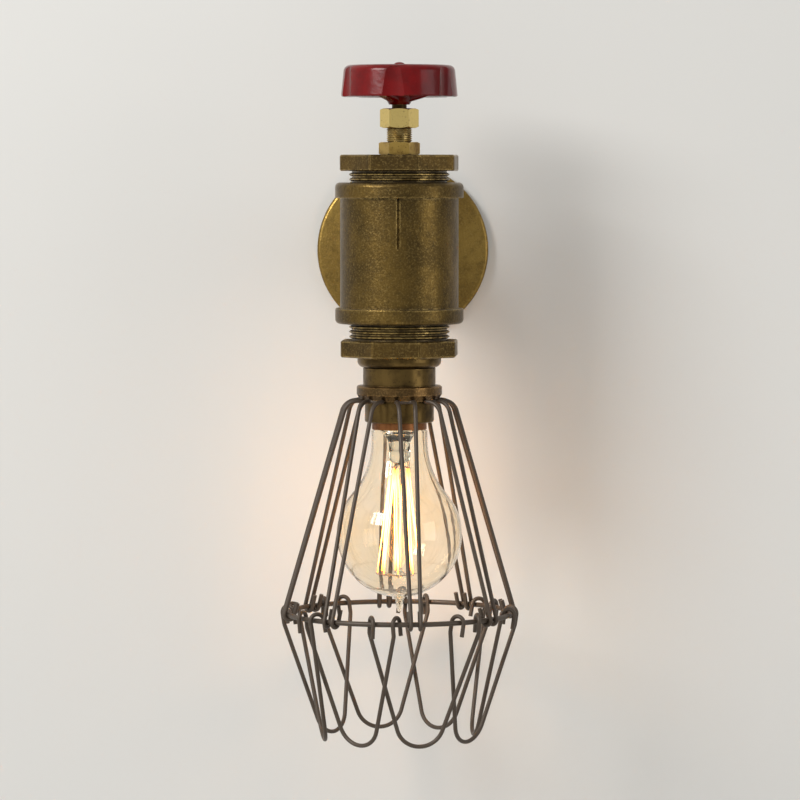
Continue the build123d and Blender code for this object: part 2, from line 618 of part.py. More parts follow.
def make_terminal_block():
    """The porcelain block across the lower bushing's rim, its screws and the earth screw."""
    seat = -tee_half + RUN_ENGAGE
    middle = BLOCK_LENGTH - 2 * BLOCK_EAR
    block = Pos(0, 0, seat + BLOCK_H / 2) * Box(middle, BLOCK_WIDTH, BLOCK_H)
    block += Pos(0, 0, seat + BLOCK_EAR_H / 2) * Box(BLOCK_LENGTH, BLOCK_WIDTH, BLOCK_EAR_H)
    block = chamfer(block.edges().filter_by(Axis.Z), 0.8)
    for x in block_screw_places():
        block -= Pos(x, 0, 0) * rod(BLOCK_SCREW_D, seat, seat + BLOCK_EAR_H)
    wire_z = seat + BLOCK_WIRE_H
    clamp_d = 3.2
    clamps = []
    for x in (LIVE_X, NEUTRAL_X):
        block -= Pos(x, 0, wire_z) * Rot(90, 0, 0) * Cylinder(LEAD_D / 2, BLOCK_WIDTH + 1)
        for y in (-3.2, 3.2):
            block -= Pos(x, y, 0) * rod(clamp_d, wire_z + LEAD_D / 2 + 0.2, seat + BLOCK_H)
            clamp = rod(clamp_d, wire_z + LEAD_D / 2 + 0.2, seat + BLOCK_H - 1.4)
            clamp -= Pos(0, 0, seat + BLOCK_H - 1.4) * Box(clamp_d + 1, 0.7, 1.4)
            clamps.append(on_lamp_axis(Pos(x, y, 0) * clamp))
    fixings = []
    for x in block_screw_places():
        screw = pan_screw(BLOCK_SCREW_D, BLOCK_SCREW_HEAD_D, BLOCK_SCREW_HEAD_H,
                          BLOCK_EAR_H + BLOCK_SCREW_DEPTH - 1.0)
        fixings.append(on_lamp_axis(Pos(x, 0, seat + BLOCK_EAR_H) * screw))
    earth_y = rim_middle()
    washer = tube(EARTH_WASHER_D, EARTH_SCREW_D, seat, seat + EARTH_WASHER_H)
    earth = pan_screw(EARTH_SCREW_D, EARTH_HEAD_D, EARTH_HEAD_H,
                      EARTH_WASHER_H + BLOCK_SCREW_DEPTH - 1.0, 1.0)
    return {
        "terminal_block": on_lamp_axis(block),
        "block_clamp_screws": Compound(clamps),
        "block_fixing_screws": Compound(fixings),
        "earth_washer": on_lamp_axis(Pos(0, earth_y, 0) * washer),
        "earth_screw": on_lamp_axis(Pos(0, earth_y, seat + EARTH_WASHER_H) * earth),
    }


def make_leads():
    """The two leads from the block's front, down through the bushing and into the terminals."""
    block_z = -tee_half + RUN_ENGAGE + BLOCK_WIRE_H
    drop_y = -BLOCK_WIDTH / 2 - LEAD_BEND - 0.2
    leads = {}
    for name, x in (("live_lead", LIVE_X), ("neutral_lead", NEUTRAL_X)):
        path = FilletPolyline((x, -2.0, block_z), (x, drop_y, block_z), (x, drop_y, terminal_wire_z),
                              (x, -1.8, terminal_wire_z), radius=LEAD_BEND)
        leads[name] = on_lamp_axis(wire_along(path, LEAD_D))
    return leads


# Heights in the bulb
cap_end = glass_top + CAP_H
shell_top = glass_top + CAP_SHELL_H
bulb_foot = cap_end - BULB_LENGTH
sphere_z = bulb_foot + BULB_D / 2


def glass_edges(inset):
    """Half outline of the glass from the neck's end to the foot of its round part, moved inwards."""
    neck_r = GLASS_NECK_D / 2 - inset
    round_r = BULB_D / 2 - inset
    flare_z = glass_top - GLASS_NECK_H
    rise = flare_z - sphere_z
    flare_r = (rise ** 2 + neck_r ** 2 - round_r ** 2) / (2 * (round_r - neck_r))
    turn = atan2(rise, neck_r + flare_r)
    meet = (round_r * cos(turn), 0, sphere_z + round_r * sin(turn))
    flare_mid = (neck_r + flare_r * (1 - cos(turn / 2)), 0, flare_z - flare_r * sin(turn / 2))
    flare = ThreePointArc((neck_r, 0, flare_z), flare_mid, meet)
    return neck_r, flare_z, flare, meet, round_r


def make_glass():
    """The pear-shaped glass, hollow, with a drawn-off pip under it."""
    tail_r = CAP_D / 2 - CAP_WALL
    neck_r, flare_z, flare, meet, round_r = glass_edges(0)
    pip_r = PIP_D / 2
    pip_z = sphere_z - sqrt(round_r ** 2 - pip_r ** 2)
    tip_z = bulb_foot - PIP_H
    tip_r = PIP_TIP_D / 2
    middle = -radians(20)
    outer = [
        Line((tail_r, 0, glass_top + GLASS_TAIL), (tail_r, 0, glass_top)),
        Line((tail_r, 0, glass_top), (neck_r, 0, glass_top - 0.8)),
        Line((neck_r, 0, glass_top - 0.8), (neck_r, 0, flare_z)),
        flare,
        ThreePointArc(meet, (round_r * cos(middle), 0, sphere_z + round_r * sin(middle)),
                      (pip_r, 0, pip_z)),
        Line((pip_r, 0, pip_z), (tip_r, 0, tip_z + tip_r)),
        ThreePointArc((tip_r, 0, tip_z + tip_r), (tip_r * cos(pi / 4), 0, tip_z + tip_r * (1 - sin(pi / 4))),
                      (0, 0, tip_z)),
    ]
    inner_neck, inner_flare_z, inner_flare, inner_meet, inner_r = glass_edges(GLASS_WALL)
    inner_tail = tail_r - GLASS_WALL
    inner = [
        Line((0, 0, tip_z), (0, 0, sphere_z - inner_r)),
        ThreePointArc((0, 0, sphere_z - inner_r),
                      (inner_r * cos(middle), 0, sphere_z + inner_r * sin(middle)), inner_meet),
        inner_flare,
        Line((inner_neck, 0, inner_flare_z), (inner_tail, 0, glass_top)),
        Line((inner_tail, 0, glass_top), (inner_tail, 0, glass_top + GLASS_TAIL)),
        Line((inner_tail, 0, glass_top + GLASS_TAIL), (tail_r, 0, glass_top + GLASS_TAIL)),
    ]
    return revolve(make_face(outer + inner), Axis.Z)


def filament_points():
    """Turning points of the filament, up and down round the middle of the bulb."""
    top = glass_top - FILAMENT_TOP
    points = []
    for index in range(FILAMENT_STRANDS + 1):
        turn = radians(index * 360 / (FILAMENT_STRANDS + 1.5))
        radius = FILAMENT_END_R if index % 2 else FILAMENT_TOP_R
        z = top - FILAMENT_LENGTH if index % 2 else top
        points.append((radius * cos(turn), radius * sin(turn), z))
    return points


def make_bulb():
    """The bulb: glass, threaded cap, its insulator and end contact, and what stands in the glass."""
    cap_r = CAP_D / 2
    cap = turned((cap_r - CAP_WALL, glass_top), (cap_r, glass_top), (cap_r, shell_top - 2.0),
                 (cap_r - 2.2, shell_top), (cap_r - 2.2 - CAP_WALL, shell_top),
                 (cap_r - CAP_WALL, shell_top - 2.0))
    end_r = CAP_END_D / 2
    button_foot_z = cap_end - CAP_BUTTON_H
    insulator = turned((0, shell_top - 1.5), (cap_r - CAP_WALL - 1.7, shell_top - 1.5),
                       (cap_r - 2.2 - CAP_WALL, shell_top), (end_r, button_foot_z), (0, button_foot_z))
    button_r = CAP_BUTTON_D / 2
    button = turned((0, button_foot_z), (button_r, button_foot_z), (button_r - 1.2, cap_end), (0, cap_end))
    rod_top = glass_top - 8.0
    rod_foot = glass_top - FILAMENT_TOP - FILAMENT_LENGTH - 3.0
    flare_r = CAP_D / 2 - CAP_WALL - GLASS_WALL
    base_r = MOUNT_BASE_D / 2
    rod_r = MOUNT_ROD_D / 2
    mount = turned((0, glass_top + 2.0), (flare_r, glass_top + 2.0), (base_r, rod_top),
                   (base_r - 1.6, rod_top - 6.0), (rod_r, rod_top - 7.0), (rod_r, rod_foot), (0, rod_foot))
    points = filament_points()
    strands = None
    for start, end in zip(points, points[1:]):
        length = (Vector(*end) - Vector(*start)).length
        plane = Plane(origin=start, z_dir=Vector(*end) - Vector(*start))
        strand = extrude(plane * Circle(FILAMENT_D / 2), length)
        strand += Pos(*end) * Sphere(FILAMENT_D / 2)
        strands = strand if strands is None else strands + strand
    supports = []
    for index, point in enumerate(points):
        inwards = Vector(-point[0], -point[1], 0).normalized()
        start = Vector(*point) + inwards * (FILAMENT_D / 2)
        reach = hypot(point[0], point[1]) - FILAMENT_D / 2 - rod_r + 0.1
        plane = Plane(origin=start, z_dir=inwards)
        supports.append(on_lamp_axis(extrude(plane * Circle(SUPPORT_D / 2), reach) - mount))
    return {
        "bulb_glass": on_lamp_axis(make_glass()),
        "bulb_cap": on_lamp_axis(cap),
        "cap_insulator": on_lamp_axis(insulator),
        "cap_contact": on_lamp_axis(button),
        "glass_mount": on_lamp_axis(mount),
        "filament": on_lamp_axis(strands),
        "filament_supports": Compound(supports),
    }


def make_hairpin_half():
    """Half of one hairpin at the front: half its closed end, one leg, and the hook on the ring.

    The leg lies in an upright plane that closes in on its twin by splay, and in that plane
    u counts outwards from where the leg leaves the closed end and z counts up.
    """
    half_top = HAIRPIN_TOP_WIDTH / 2
    ring_r = RING_D / 2
    end_u = SKIRT_D / 2 + WIRE_D / 2 + HOOK_GAP
    corner_t = half_top - HAIRPIN_END_ROUND
    corner_u = end_u + HAIRPIN_END_ROUND
    splay = atan2(half_top - HAIRPIN_END_WIDTH / 2, ring_r - corner_u)
    start_u = corner_u + HAIRPIN_END_ROUND * sin(splay)
    start_t = corner_t + HAIRPIN_END_ROUND * cos(splay)
    far_u = (ring_r - start_u) / cos(splay)
    bend_u = (HAIRPIN_SHOULDER - start_u) / cos(splay)
    hook_r = RING_WIRE_D / 2 + WIRE_D / 2 + HOOK_GAP
    bend_z = guard_collar_foot - HAIRPIN_BEND
    across = far_u - bend_u
    down = ring_z - bend_z
    lean = atan2(down, across) + acos((HAIRPIN_BEND - hook_r) / hypot(across, down))
    out_u, out_z = cos(lean), sin(lean)

    def at(u, z):
        return (start_t - u * sin(splay), -start_u - u * cos(splay), z)

    turn_mid = (pi / 2 + lean) / 2
    leg_start = (bend_u + HAIRPIN_BEND * out_u, bend_z + HAIRPIN_BEND * out_z)
    leg_end = (far_u + hook_r * out_u, ring_z + hook_r * out_z)
    hook_mid = (far_u + hook_r * out_z, ring_z - hook_r * out_u)
    tail_start = (far_u - hook_r * out_u, ring_z - hook_r * out_z)
    tail_end = (tail_start[0] - HOOK_TAIL * out_z, tail_start[1] + HOOK_TAIL * out_u)
    round_mid = (pi / 2 + splay) / 2
    corner_mid = (corner_t + HAIRPIN_END_ROUND * sin(round_mid),
                  -corner_u + HAIRPIN_END_ROUND * cos(round_mid), guard_collar_foot)
    path = Wire([
        Line((0, -end_u, guard_collar_foot), (corner_t, -end_u, guard_collar_foot)),
        ThreePointArc((corner_t, -end_u, guard_collar_foot), corner_mid, at(0, guard_collar_foot)),
        Line(at(0, guard_collar_foot), at(bend_u, guard_collar_foot)),
        ThreePointArc(at(bend_u, guard_collar_foot),
                      at(bend_u + HAIRPIN_BEND * cos(turn_mid), bend_z + HAIRPIN_BEND * sin(turn_mid)),
                      at(*leg_start)),
        Line(at(*leg_start), at(*leg_end)),
        ThreePointArc(at(*leg_end), at(*hook_mid), at(*tail_start)),
        Line(at(*tail_start), at(*tail_end)),
    ])
    return wire_along(path, WIRE_D)


def make_petal():
    """One U-shaped petal at the front, hanging by an eye at each end from the ring.

    It is drawn with its hinge line on the X axis and hanging straight down, then leaned in. Its left
    leg leaves the eye on the inner side of the ring and its right leg on the outer side, so that
    each leg passes its neighbour's.
    """
    half_width = RING_D / 2 * sin(radians(PETAL_HALF_SPAN))
    free = PETAL_LENGTH - PETAL_STUB - PETAL_TIP_R
    share = (PETAL_TIP_R / half_width) ** 2
    apex = (free + sqrt(free ** 2 - (1 - share) * (free ** 2 - PETAL_TIP_R ** 2))) / (1 - share)
    apex_z = -(PETAL_STUB + apex)
    legs = FilletPolyline(
        (half_width, -EYE_R, 0), (half_width, -EYE_R, -PETAL_STUB), (0, 0, apex_z),
        (-half_width, EYE_R, -PETAL_STUB), (-half_width, EYE_R, 0),
        radius=[PETAL_STUB_BEND, PETAL_TIP_R, PETAL_STUB_BEND])
    path = Wire([
        Line((half_width, EYE_R, -EYE_TAIL), (half_width, EYE_R, 0)),
        ThreePointArc((half_width, EYE_R, 0), (half_width, 0, EYE_R), (half_width, -EYE_R, 0)),
        *legs.edges(),
        ThreePointArc((-half_width, EYE_R, 0), (-half_width, 0, EYE_R), (-half_width, -EYE_R, 0)),
        Line((-half_width, -EYE_R, 0), (-half_width, -EYE_R, -EYE_TAIL)),
    ])
    start = Plane(origin=(half_width, EYE_R, -EYE_TAIL), z_dir=(0, 0, 1))
    petal = sweep(start * Circle(WIRE_D / 2), path=path)
    chord_y = -RING_D / 2 * cos(radians(PETAL_HALF_SPAN))
    return Pos(0, chord_y, ring_z) * Rot(PETAL_TILT, 0, 0) * petal


def make_guard():
    """The guard: collar, ring, and the hairpins and petals at a steady pitch round them."""
    collar_r = GUARD_COLLAR_D / 2
    foot_r = GUARD_COLLAR_FOOT_D / 2
    band_foot = body_foot - GUARD_COLLAR_BAND
    collar = turned((SKIRT_D / 2, guard_collar_foot), (foot_r, guard_collar_foot), (collar_r, band_foot),
                    (collar_r, body_foot - 0.6), (collar_r - 0.6, body_foot), (SKIRT_D / 2, body_foot))
    half = make_hairpin_half()
    hairpin = half + mirror(half, about=Plane.YZ)
    petal = make_petal()
    count = round(360 / GUARD_PITCH)
    guard = {}
    for index in range(count):
        turn = FIRST_HAIRPIN + index * GUARD_PITCH
        collar -= Rot(0, 0, turn) * hairpin
        guard[f"hairpin_{index + 1}"] = on_lamp_axis(hairpin, turn)
    for index in range(count):
        guard[f"petal_{index + 1}"] = on_lamp_axis(petal, FIRST_PETAL + index * GUARD_PITCH)
    guard["guard_collar"] = on_lamp_axis(collar)
    guard["guard_ring"] = on_lamp_axis(Torus(RING_D / 2, RING_WIRE_D / 2), z=ring_z)
    return guard


def make_light():
    """Every piece of the light, by name."""
    pieces = {
        "wall_flange": make_flange(),
        "branch_nipple": make_branch_nipple(),
        "tee_body": make_tee(),
        "upper_bushing": make_upper_bushing(),
        "lower_bushing": make_lower_bushing(),
    }
    for group in (make_valve_head, make_stem_and_disc, make_handwheel, make_holder, make_contacts,
                  make_terminal_block, make_leads, make_bulb, make_guard):
        pieces |= group()
    return pieces


os.makedirs("parts", exist_ok=True)
for name, piece in make_light().items():
    export_step(piece, f"parts/{name}.step")
chord_r = RING_D / 2 * cos(radians(PETAL_HALF_SPAN))
print(f"ring height {ring_z:.3f}, petal hinge radius {chord_r:.3f}, stem travel {stem_travel:.2f}")
print(f"ratio of slide to turn {stem_travel / (STEM_TURNS * 2 * pi):.6f} mm per radian")
print(f"steepest hairpin lean {degrees(atan2(RING_D / 2 - HAIRPIN_SHOULDER, RING_DROP)):.1f} degrees")
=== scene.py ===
"""The industrial pipe wall light, dressed for viewing.

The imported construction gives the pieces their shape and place. This script gives most of them a
finish, and models what the bulb shows through its glass: the blown envelope, the glass stem, the
filament and the wires that carry it. Everything is in metres, in the frame of the construction: the
wall is the plane y = 0, the room is on its -y side, and z is up.
"""

import logging
import math
from dataclasses import dataclass, field
from enum import Enum

import bpy
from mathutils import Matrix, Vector

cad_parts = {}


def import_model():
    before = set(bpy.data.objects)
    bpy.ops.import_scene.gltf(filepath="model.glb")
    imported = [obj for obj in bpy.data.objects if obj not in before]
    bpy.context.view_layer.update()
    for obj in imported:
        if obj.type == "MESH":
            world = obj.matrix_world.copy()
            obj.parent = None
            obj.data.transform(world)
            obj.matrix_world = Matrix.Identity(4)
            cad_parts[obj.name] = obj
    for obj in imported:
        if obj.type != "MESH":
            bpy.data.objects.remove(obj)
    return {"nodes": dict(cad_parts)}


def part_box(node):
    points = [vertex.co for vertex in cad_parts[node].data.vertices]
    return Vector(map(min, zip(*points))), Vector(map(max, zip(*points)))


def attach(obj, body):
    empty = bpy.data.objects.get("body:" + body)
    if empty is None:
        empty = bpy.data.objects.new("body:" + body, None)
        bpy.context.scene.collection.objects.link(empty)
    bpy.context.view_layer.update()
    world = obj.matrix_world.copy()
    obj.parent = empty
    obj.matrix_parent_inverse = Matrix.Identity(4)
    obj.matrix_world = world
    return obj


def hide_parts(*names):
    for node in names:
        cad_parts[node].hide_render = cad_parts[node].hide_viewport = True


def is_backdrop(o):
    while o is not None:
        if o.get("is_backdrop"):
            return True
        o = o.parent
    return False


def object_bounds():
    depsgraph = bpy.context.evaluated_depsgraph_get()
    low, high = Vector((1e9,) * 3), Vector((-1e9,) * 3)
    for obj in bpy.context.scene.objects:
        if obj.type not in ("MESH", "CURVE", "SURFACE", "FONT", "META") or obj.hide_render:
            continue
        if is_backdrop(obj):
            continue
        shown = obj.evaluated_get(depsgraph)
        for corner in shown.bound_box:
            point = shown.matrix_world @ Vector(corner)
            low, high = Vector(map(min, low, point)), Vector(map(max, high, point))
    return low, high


LOG = logging.getLogger("pipe_wall_light")
MM = 0.001
UP = Vector((0, 0, 1))

Colour = tuple[float, float, float]
Material = bpy.types.Material
Node = bpy.types.Node
Outputs = bpy.types.NodeOutputs
Piece = bpy.types.Object
Socket = bpy.types.NodeSocket
Tree = bpy.types.NodeTree


def seen(colour: Colour) -> tuple[float, float, float, float]:
    """Turn a colour as the eye reads it on a screen into the light values that a shader takes.

    Args:
        colour: Its red, green and blue shares from 0 to 1.

    Returns:
        The same colour in linear light, with full opacity.
    """
    red, green, blue = (v / 12.92 if v <= 0.04045 else ((v + 0.055) / 1.055) ** 2.4 for v in colour)
    return (red, green, blue, 1.0)


def darker(colour: Colour, share: float) -> Colour:
    """Keep only a share of a colour."""
    return (colour[0] * share, colour[1] * share, colour[2] * share)


class Board:
    """A node tree with short ways to add and join its nodes."""

    def __init__(self, tree: Tree) -> None:
        """Work on a tree that exists."""
        self.tree = tree

    def feed(self, target: Socket, value: object) -> None:
        """Join an input to another socket or give it a constant.

        Args:
            target: The input.
            value: A socket, a number, a vector, or a colour as the eye reads it.
        """
        if isinstance(value, Socket):
            self.tree.links.new(value, target)
        else:
            target.default_value = seen(value) if target.type == "RGBA" else value

    def add(self, kind: str, *taken: object, **settings: object) -> Node:
        """Add a node.

        Args:
            kind: The name of the node's type, without its ShaderNode.
            *taken: What the node's first inputs take, in their order.
            **settings: Properties of the node, by name.

        Returns:
            The new node.
        """
        node = self.tree.nodes.new("ShaderNode" + kind)
        for name, value in settings.items():
            setattr(node, name, value)
        for target, value in zip(node.inputs, taken):
            self.feed(target, value)
        return node

    def fill(self, node: Node, **values: object) -> Outputs:
        """Feed a node's inputs by name.

        Args:
            node: The node.
            **values: What the inputs take, by name with _ for a space.

        Returns:
            The node's outputs.
        """
        for name, value in values.items():
            self.feed(node.inputs[name.replace("_", " ")], value)
        return node.outputs

    def sum_up(self, operation: str, first: object, second: object = 0.0, clamp: bool = False
               ) -> Socket:
        """Do arithmetic on two values.

        Args:
            operation: Name of the Math node's operation.
            first: A number or a socket.
            second: A number or a socket.
            clamp: Whether the result is held between 0 and 1.

        Returns:
            The socket with the result.
        """
        return self.add("Math", first, second, operation=operation, use_clamp=clamp).outputs[0]

    def times(self, first: object, second: object) -> Socket:
        """Multiply two values."""
        return self.sum_up("MULTIPLY", first, second)

    def larger(self, first: object, second: object) -> Socket:
        """Take the larger of two values."""
        return self.sum_up("MAXIMUM", first, second)

    def rest_of(self, share: object) -> Socket:
        """Take what a share leaves of one."""
        return self.sum_up("SUBTRACT", 1.0, share)

    def span(self, value: Socket, low: object, high: object) -> Socket:
        """Map a stretch of values smoothly to the stretch from 0 to 1.

        Args:
            value: The socket to map.
            low: The value that becomes 0, as does all before it.
            high: The value that becomes 1, as does all past it.

        Returns:
            The socket with the result.
        """
        node = self.add("MapRange", interpolation_type="SMOOTHSTEP")
        return self.fill(node, Value=value, From_Min=low, From_Max=high)["Result"]

    def mix(self, kind: str, slot: int, share: object, first: object, second: object) -> Node:
        """Add a node that mixes two values.

        Args:
            kind: What it mixes, FLOAT or RGBA.
            slot: Where the node's two inputs of that kind start.
            share: How much of the second value counts, from 0 to 1.
            first: A constant or a socket.
            second: A constant or a socket.

        Returns:
            The node.
        """
        node = self.add("Mix", share, data_type=kind)
        self.feed(node.inputs[slot], first)
        self.feed(node.inputs[slot + 1], second)
        return node

    def blend(self, share: object, first: object, second: object) -> Socket:
        """Lay a share of a second colour over a first."""
        return self.mix("RGBA", 6, share, first, second).outputs[2]

    def between(self, share: object, first: object, second: object) -> Socket:
        """Go a share of the way from a first number to a second."""
        return self.mix("FLOAT", 2, share, first, second).outputs[0]

    def noise(self, place: Socket, size: object, layers: float = 3.0, grit: float = 0.5) -> Socket:
        """Add a noise pattern whose lumps are about as large as size.

        Args:
            place: Coordinates in metres.
            size: Size of the largest lumps in metres, as a number or a socket.
            layers: Number of finer layers.
            grit: Strength of the finer layers.

        Returns:
            The socket with the noise, from about 0.3 to 0.7.
        """
        scale = self.sum_up("DIVIDE", 1.0, size)
        node = self.add("TexNoise")
        return self.fill(node, Vector=place, Scale=scale, Detail=layers, Roughness=grit)["Fac"]


class Effect(Enum):
    """The shared effects that the finishes are made from."""

    # Worn edges, and painted shade in corners from ambient occlusion.
    RUBBED = "edge_wear_and_shade"
    CAST = "cast_skin"
    PATCHES = "tarnish_patches"
    TURNED = "turned_lines"
    SCRATCHES = "fine_scratches"
    SETTLED = "settled_dust"


class EffectShelf:
    """Builds each shared effect once, as a node group, and hands it out."""

    # How many rays look for edges and corners.
    rays = 6
    # Where each mask starts and where it is full, on the scale of its own pattern.
    edge_bend = (0.003, 0.05)
    edge_breaks = (0.36, 0.6)
    hollow_light = (0.75, 0.25)
    pits = (0.42, 0.3)
    specks = (0.62, 0.7)
    hairs = (0.72, 0.77)
    upward = (0.35, 1.0)
    dust_clouds = (0.35, 0.7)
    # Half the width of a tarnish cloud's border, on the same scale.
    border = 0.13
    # Each direction of scratches: its turn, and how long its hairs are for their width.
    hair_ways = ((0.4, 34.0), (1.9, 26.0), (2.8, 40.0))

    def __init__(self) -> None:
        """Start with no effect built."""
        self.built: dict[Effect, Tree] = {}

    def place(self, board: Board, effect: Effect, **values: object) -> Outputs:
        """Place an effect in a material.

        Args:
            board: The material's board.
            effect: Which effect.
            **values: Values for the group's inputs, by name with _ for a space.

        Returns:
            The outputs of the group's node, which have the effect's names.
        """
        if effect not in self.built:
            self.built[effect] = getattr(self, "make_" + effect.value)()
        return board.fill(board.add("Group", node_tree=self.built[effect]), **values)

    @staticmethod
    def begin(effect: Effect, takes: dict[str, float], *gives: str
              ) -> tuple[Board, Outputs, Node]:
        """Open a new group with a place input, the given number inputs and number outputs.

        Args:
            effect: The effect that the group is for.
            takes: Names of the number inputs, with their usual values.
            *gives: Names of the outputs.

        Returns:
            The group's board, the sockets that bring its inputs and the node that takes its outputs.
        """
        tree = bpy.data.node_groups.new(effect.value, "ShaderNodeTree")
        tree.interface.new_socket("Place", in_out="INPUT", socket_type="NodeSocketVector")
        for name, usual in takes.items():
            made = tree.interface.new_socket(name, in_out="INPUT", socket_type="NodeSocketFloat")
            made.default_value = usual
        for name in gives:
            tree.interface.new_socket(name, in_out="OUTPUT", socket_type="NodeSocketFloat")
        return Board(tree), tree.nodes.new("NodeGroupInput").outputs, tree.nodes.new("NodeGroupOutput")

    def make_edge_wear_and_shade(self) -> Tree:
        """Find where a hand or a cloth rubs a piece bright, and paint shade into corners that ambient
        occlusion finds.

        Returns:
            A group that gives Edge on outer edges, and a mask of painted shade in corners from ambient
            occlusion.
        """
        takes = {"Radius": 0.6 * MM, "Break Up": 2.5 * MM, "Reach": 4 * MM}
        board, given, out = self.begin(Effect.RUBBED, takes, "Edge", "Hollow")
        rounded = board.add("Bevel", given["Radius"], samples=self.rays).outputs["Normal"]
        flat = board.add("NewGeometry").outputs["Normal"]
        likeness = board.add("VectorMath", rounded, flat, operation="DOT_PRODUCT")
        bend = board.span(board.rest_of(likeness.outputs["Value"]), *self.edge_bend)
        # Painted shade: ambient occlusion marks the corners that the finishes darken.
        light = board.add("AmbientOcclusion", samples=self.rays)
        painted_shade = board.span(board.fill(light, Distance=given["Reach"])["AO"], *self.hollow_light)
        worn_off = board.noise(given["Place"], given["Break Up"], layers=4.0, grit=0.65)
        edge = board.times(bend, board.span(worn_off, *self.edge_breaks))
        board.fill(out, Edge=board.sum_up("SUBTRACT", edge, painted_shade, clamp=True), Hollow=painted_shade)
        return board.tree

    def make_cast_skin(self) -> Tree:
        """Make the fine orange-peel skin of a sand casting.

        Returns:
            A group that gives Height for a bump and Pits where the skin is deepest.
        """
        board, given, out = self.begin(Effect.CAST, {"Grain": 0.9 * MM}, "Height", "Pits")
        fine = board.noise(given["Place"], given["Grain"], grit=0.6)
        swell = board.noise(given["Place"], board.times(given["Grain"], 7.0), layers=2.0)
        cells = board.fill(board.add("TexVoronoi", feature="SMOOTH_F1"), Vector=given["Place"],
                           Scale=board.sum_up("DIVIDE", 0.6, given["Grain"]))["Distance"]
        height = board.sum_up("ADD", board.times(fine, 0.7), swell)
        board.fill(out, Height=board.sum_up("ADD", height, board.times(cells, 0.5)),
                   Pits=board.span(fine, *self.pits))
        return board.tree

    def make_tarnish_patches(self) -> Tree:
        """Make cloudy patches of tarnish with soft borders.

        Returns:
            A group that gives Mask, large clouds, and Speck, small spots.
        """
        takes = {"Size": 14 * MM, "Cover": 0.5}
        board, given, out = self.begin(Effect.PATCHES, takes, "Mask", "Speck")
        clouds = board.noise(given["Place"], given["Size"], layers=5.0, grit=0.62)
        middle = board.rest_of(given["Cover"])
        mask = board.span(clouds, board.sum_up("SUBTRACT", middle, self.border),
                          board.sum_up("ADD", middle, self.border))
        specks = board.noise(given["Place"], board.times(given["Size"], 0.11), layers=2.0)
        board.fill(out, Mask=mask, Speck=board.span(specks, *self.specks))
        return board.tree

    def make_turned_lines(self) -> Tree:
        """Make the fine rings that a lathe tool leaves round an upright axis.

        Returns:
            A group that gives Height for a bump.
        """
        board, given, out = self.begin(Effect.TURNED, {"Pitch": 0.25 * MM}, "Height")
        parts = board.add("SeparateXYZ", given["Place"]).outputs
        flat = board.add("CombineXYZ", parts["X"], parts["Y"]).outputs[0]
        reach = board.add("VectorMath", flat, operation="LENGTH").outputs["Value"]
        rings = board.add("CombineXYZ", reach, 0.0, parts["Z"]).outputs[0]
        board.fill(out, Height=board.noise(rings, given["Pitch"], layers=2.0, grit=0.6))
        return board.tree

    def make_fine_scratches(self) -> Tree:
        """Make short hair scratches that run many ways.

        Returns:
            A group that gives Mask along the scratches.
        """
        board, given, out = self.begin(Effect.SCRATCHES, {"Length": 7 * MM}, "Mask")
        mask: object = 0.0
        for turn, slimness in self.hair_ways:
            drawn = board.add("Mapping", given["Place"], Vector(), (turn, turn * 1.7, turn * 0.6),
                              (1.0, slimness, slimness))
            hair = board.noise(drawn.outputs[0], given["Length"], layers=1.0)
            mask = board.larger(mask, board.span(hair, *self.hairs))
        board.fill(out, Mask=mask)
        return board.tree

    def make_settled_dust(self) -> Tree:
        """Find the upward faces where dust comes to rest.

        Returns:
            A group that gives Mask.
        """
        board, given, out = self.begin(Effect.SETTLED, {"Amount": 0.3}, "Mask")
        normal = board.add("NewGeometry").outputs["Normal"]
        upward = board.span(board.add("SeparateXYZ", normal).outputs["Z"], *self.upward)
        cloud = board.noise(given["Place"], 6 * MM, layers=5.0, grit=0.7)
        spread = board.times(upward, board.span(cloud, *self.dust_clouds))
        board.fill(out, Mask=board.sum_up("MULTIPLY", spread, given["Amount"], clamp=True))
        return board.tree


class Palette(Board):
    """The board of one material, with its shader, the place on the piece and the shared effects."""

    def __init__(self, made: Material, shelf: EffectShelf) -> None:
        """Take up a new material.

        Args:
            made: The material.
            shelf: Where the shared effects come from.
        """
        made.use_nodes = True
        super().__init__(made.node_tree)
        self.shelf = shelf
        self.shader = self.tree.nodes["Principled BSDF"]
        self.place = self.add("TexCoord").outputs["Object"]

    def effect(self, effect: Effect, **values: object) -> Outputs:
        """Place a shared effect, read at the place on the piece unless the values say otherwise."""
        return self.shelf.place(self, effect, **{"Place": self.place, **values})

    def about(self, point: Vector) -> Socket:
        """Shift the place on the piece so that a point stands at its origin."""
        return self.add("Mapping", self.place, -point).outputs[0]

    def give(self, **values: object) -> None:
        """Feed the shader's inputs by name, with _ for a space."""
        self.fill(self.shader, **values)

    def emboss(self, height: Socket, depth: float, strength: float = 1.0) -> None:
        """Turn a height pattern into a bump on the shader.

        Args:
            height: The pattern.
            depth: Height of the pattern in metres.
            strength: How much of it shows.
        """
        bump = self.add("Bump")
        self.give(Normal=self.fill(bump, Distance=depth, Strength=strength, Height=height)["Normal"])


class Finish:
    """What every finish shares: a material with one shader, read in the piece's own coordinates."""

    name: str

    def material(self, shelf: EffectShelf) -> Material:
        """Build the finish.

        Args:
            shelf: Where the shared effects come from.

        Returns:
            The material.
        """
        made = bpy.data.materials.new(self.name)
        self.paint(Palette(made, shelf))
        return made

    def paint(self, board: Palette) -> None:
        """Join the patterns to the shader. Each kind of finish has its own way."""
        raise NotImplementedError


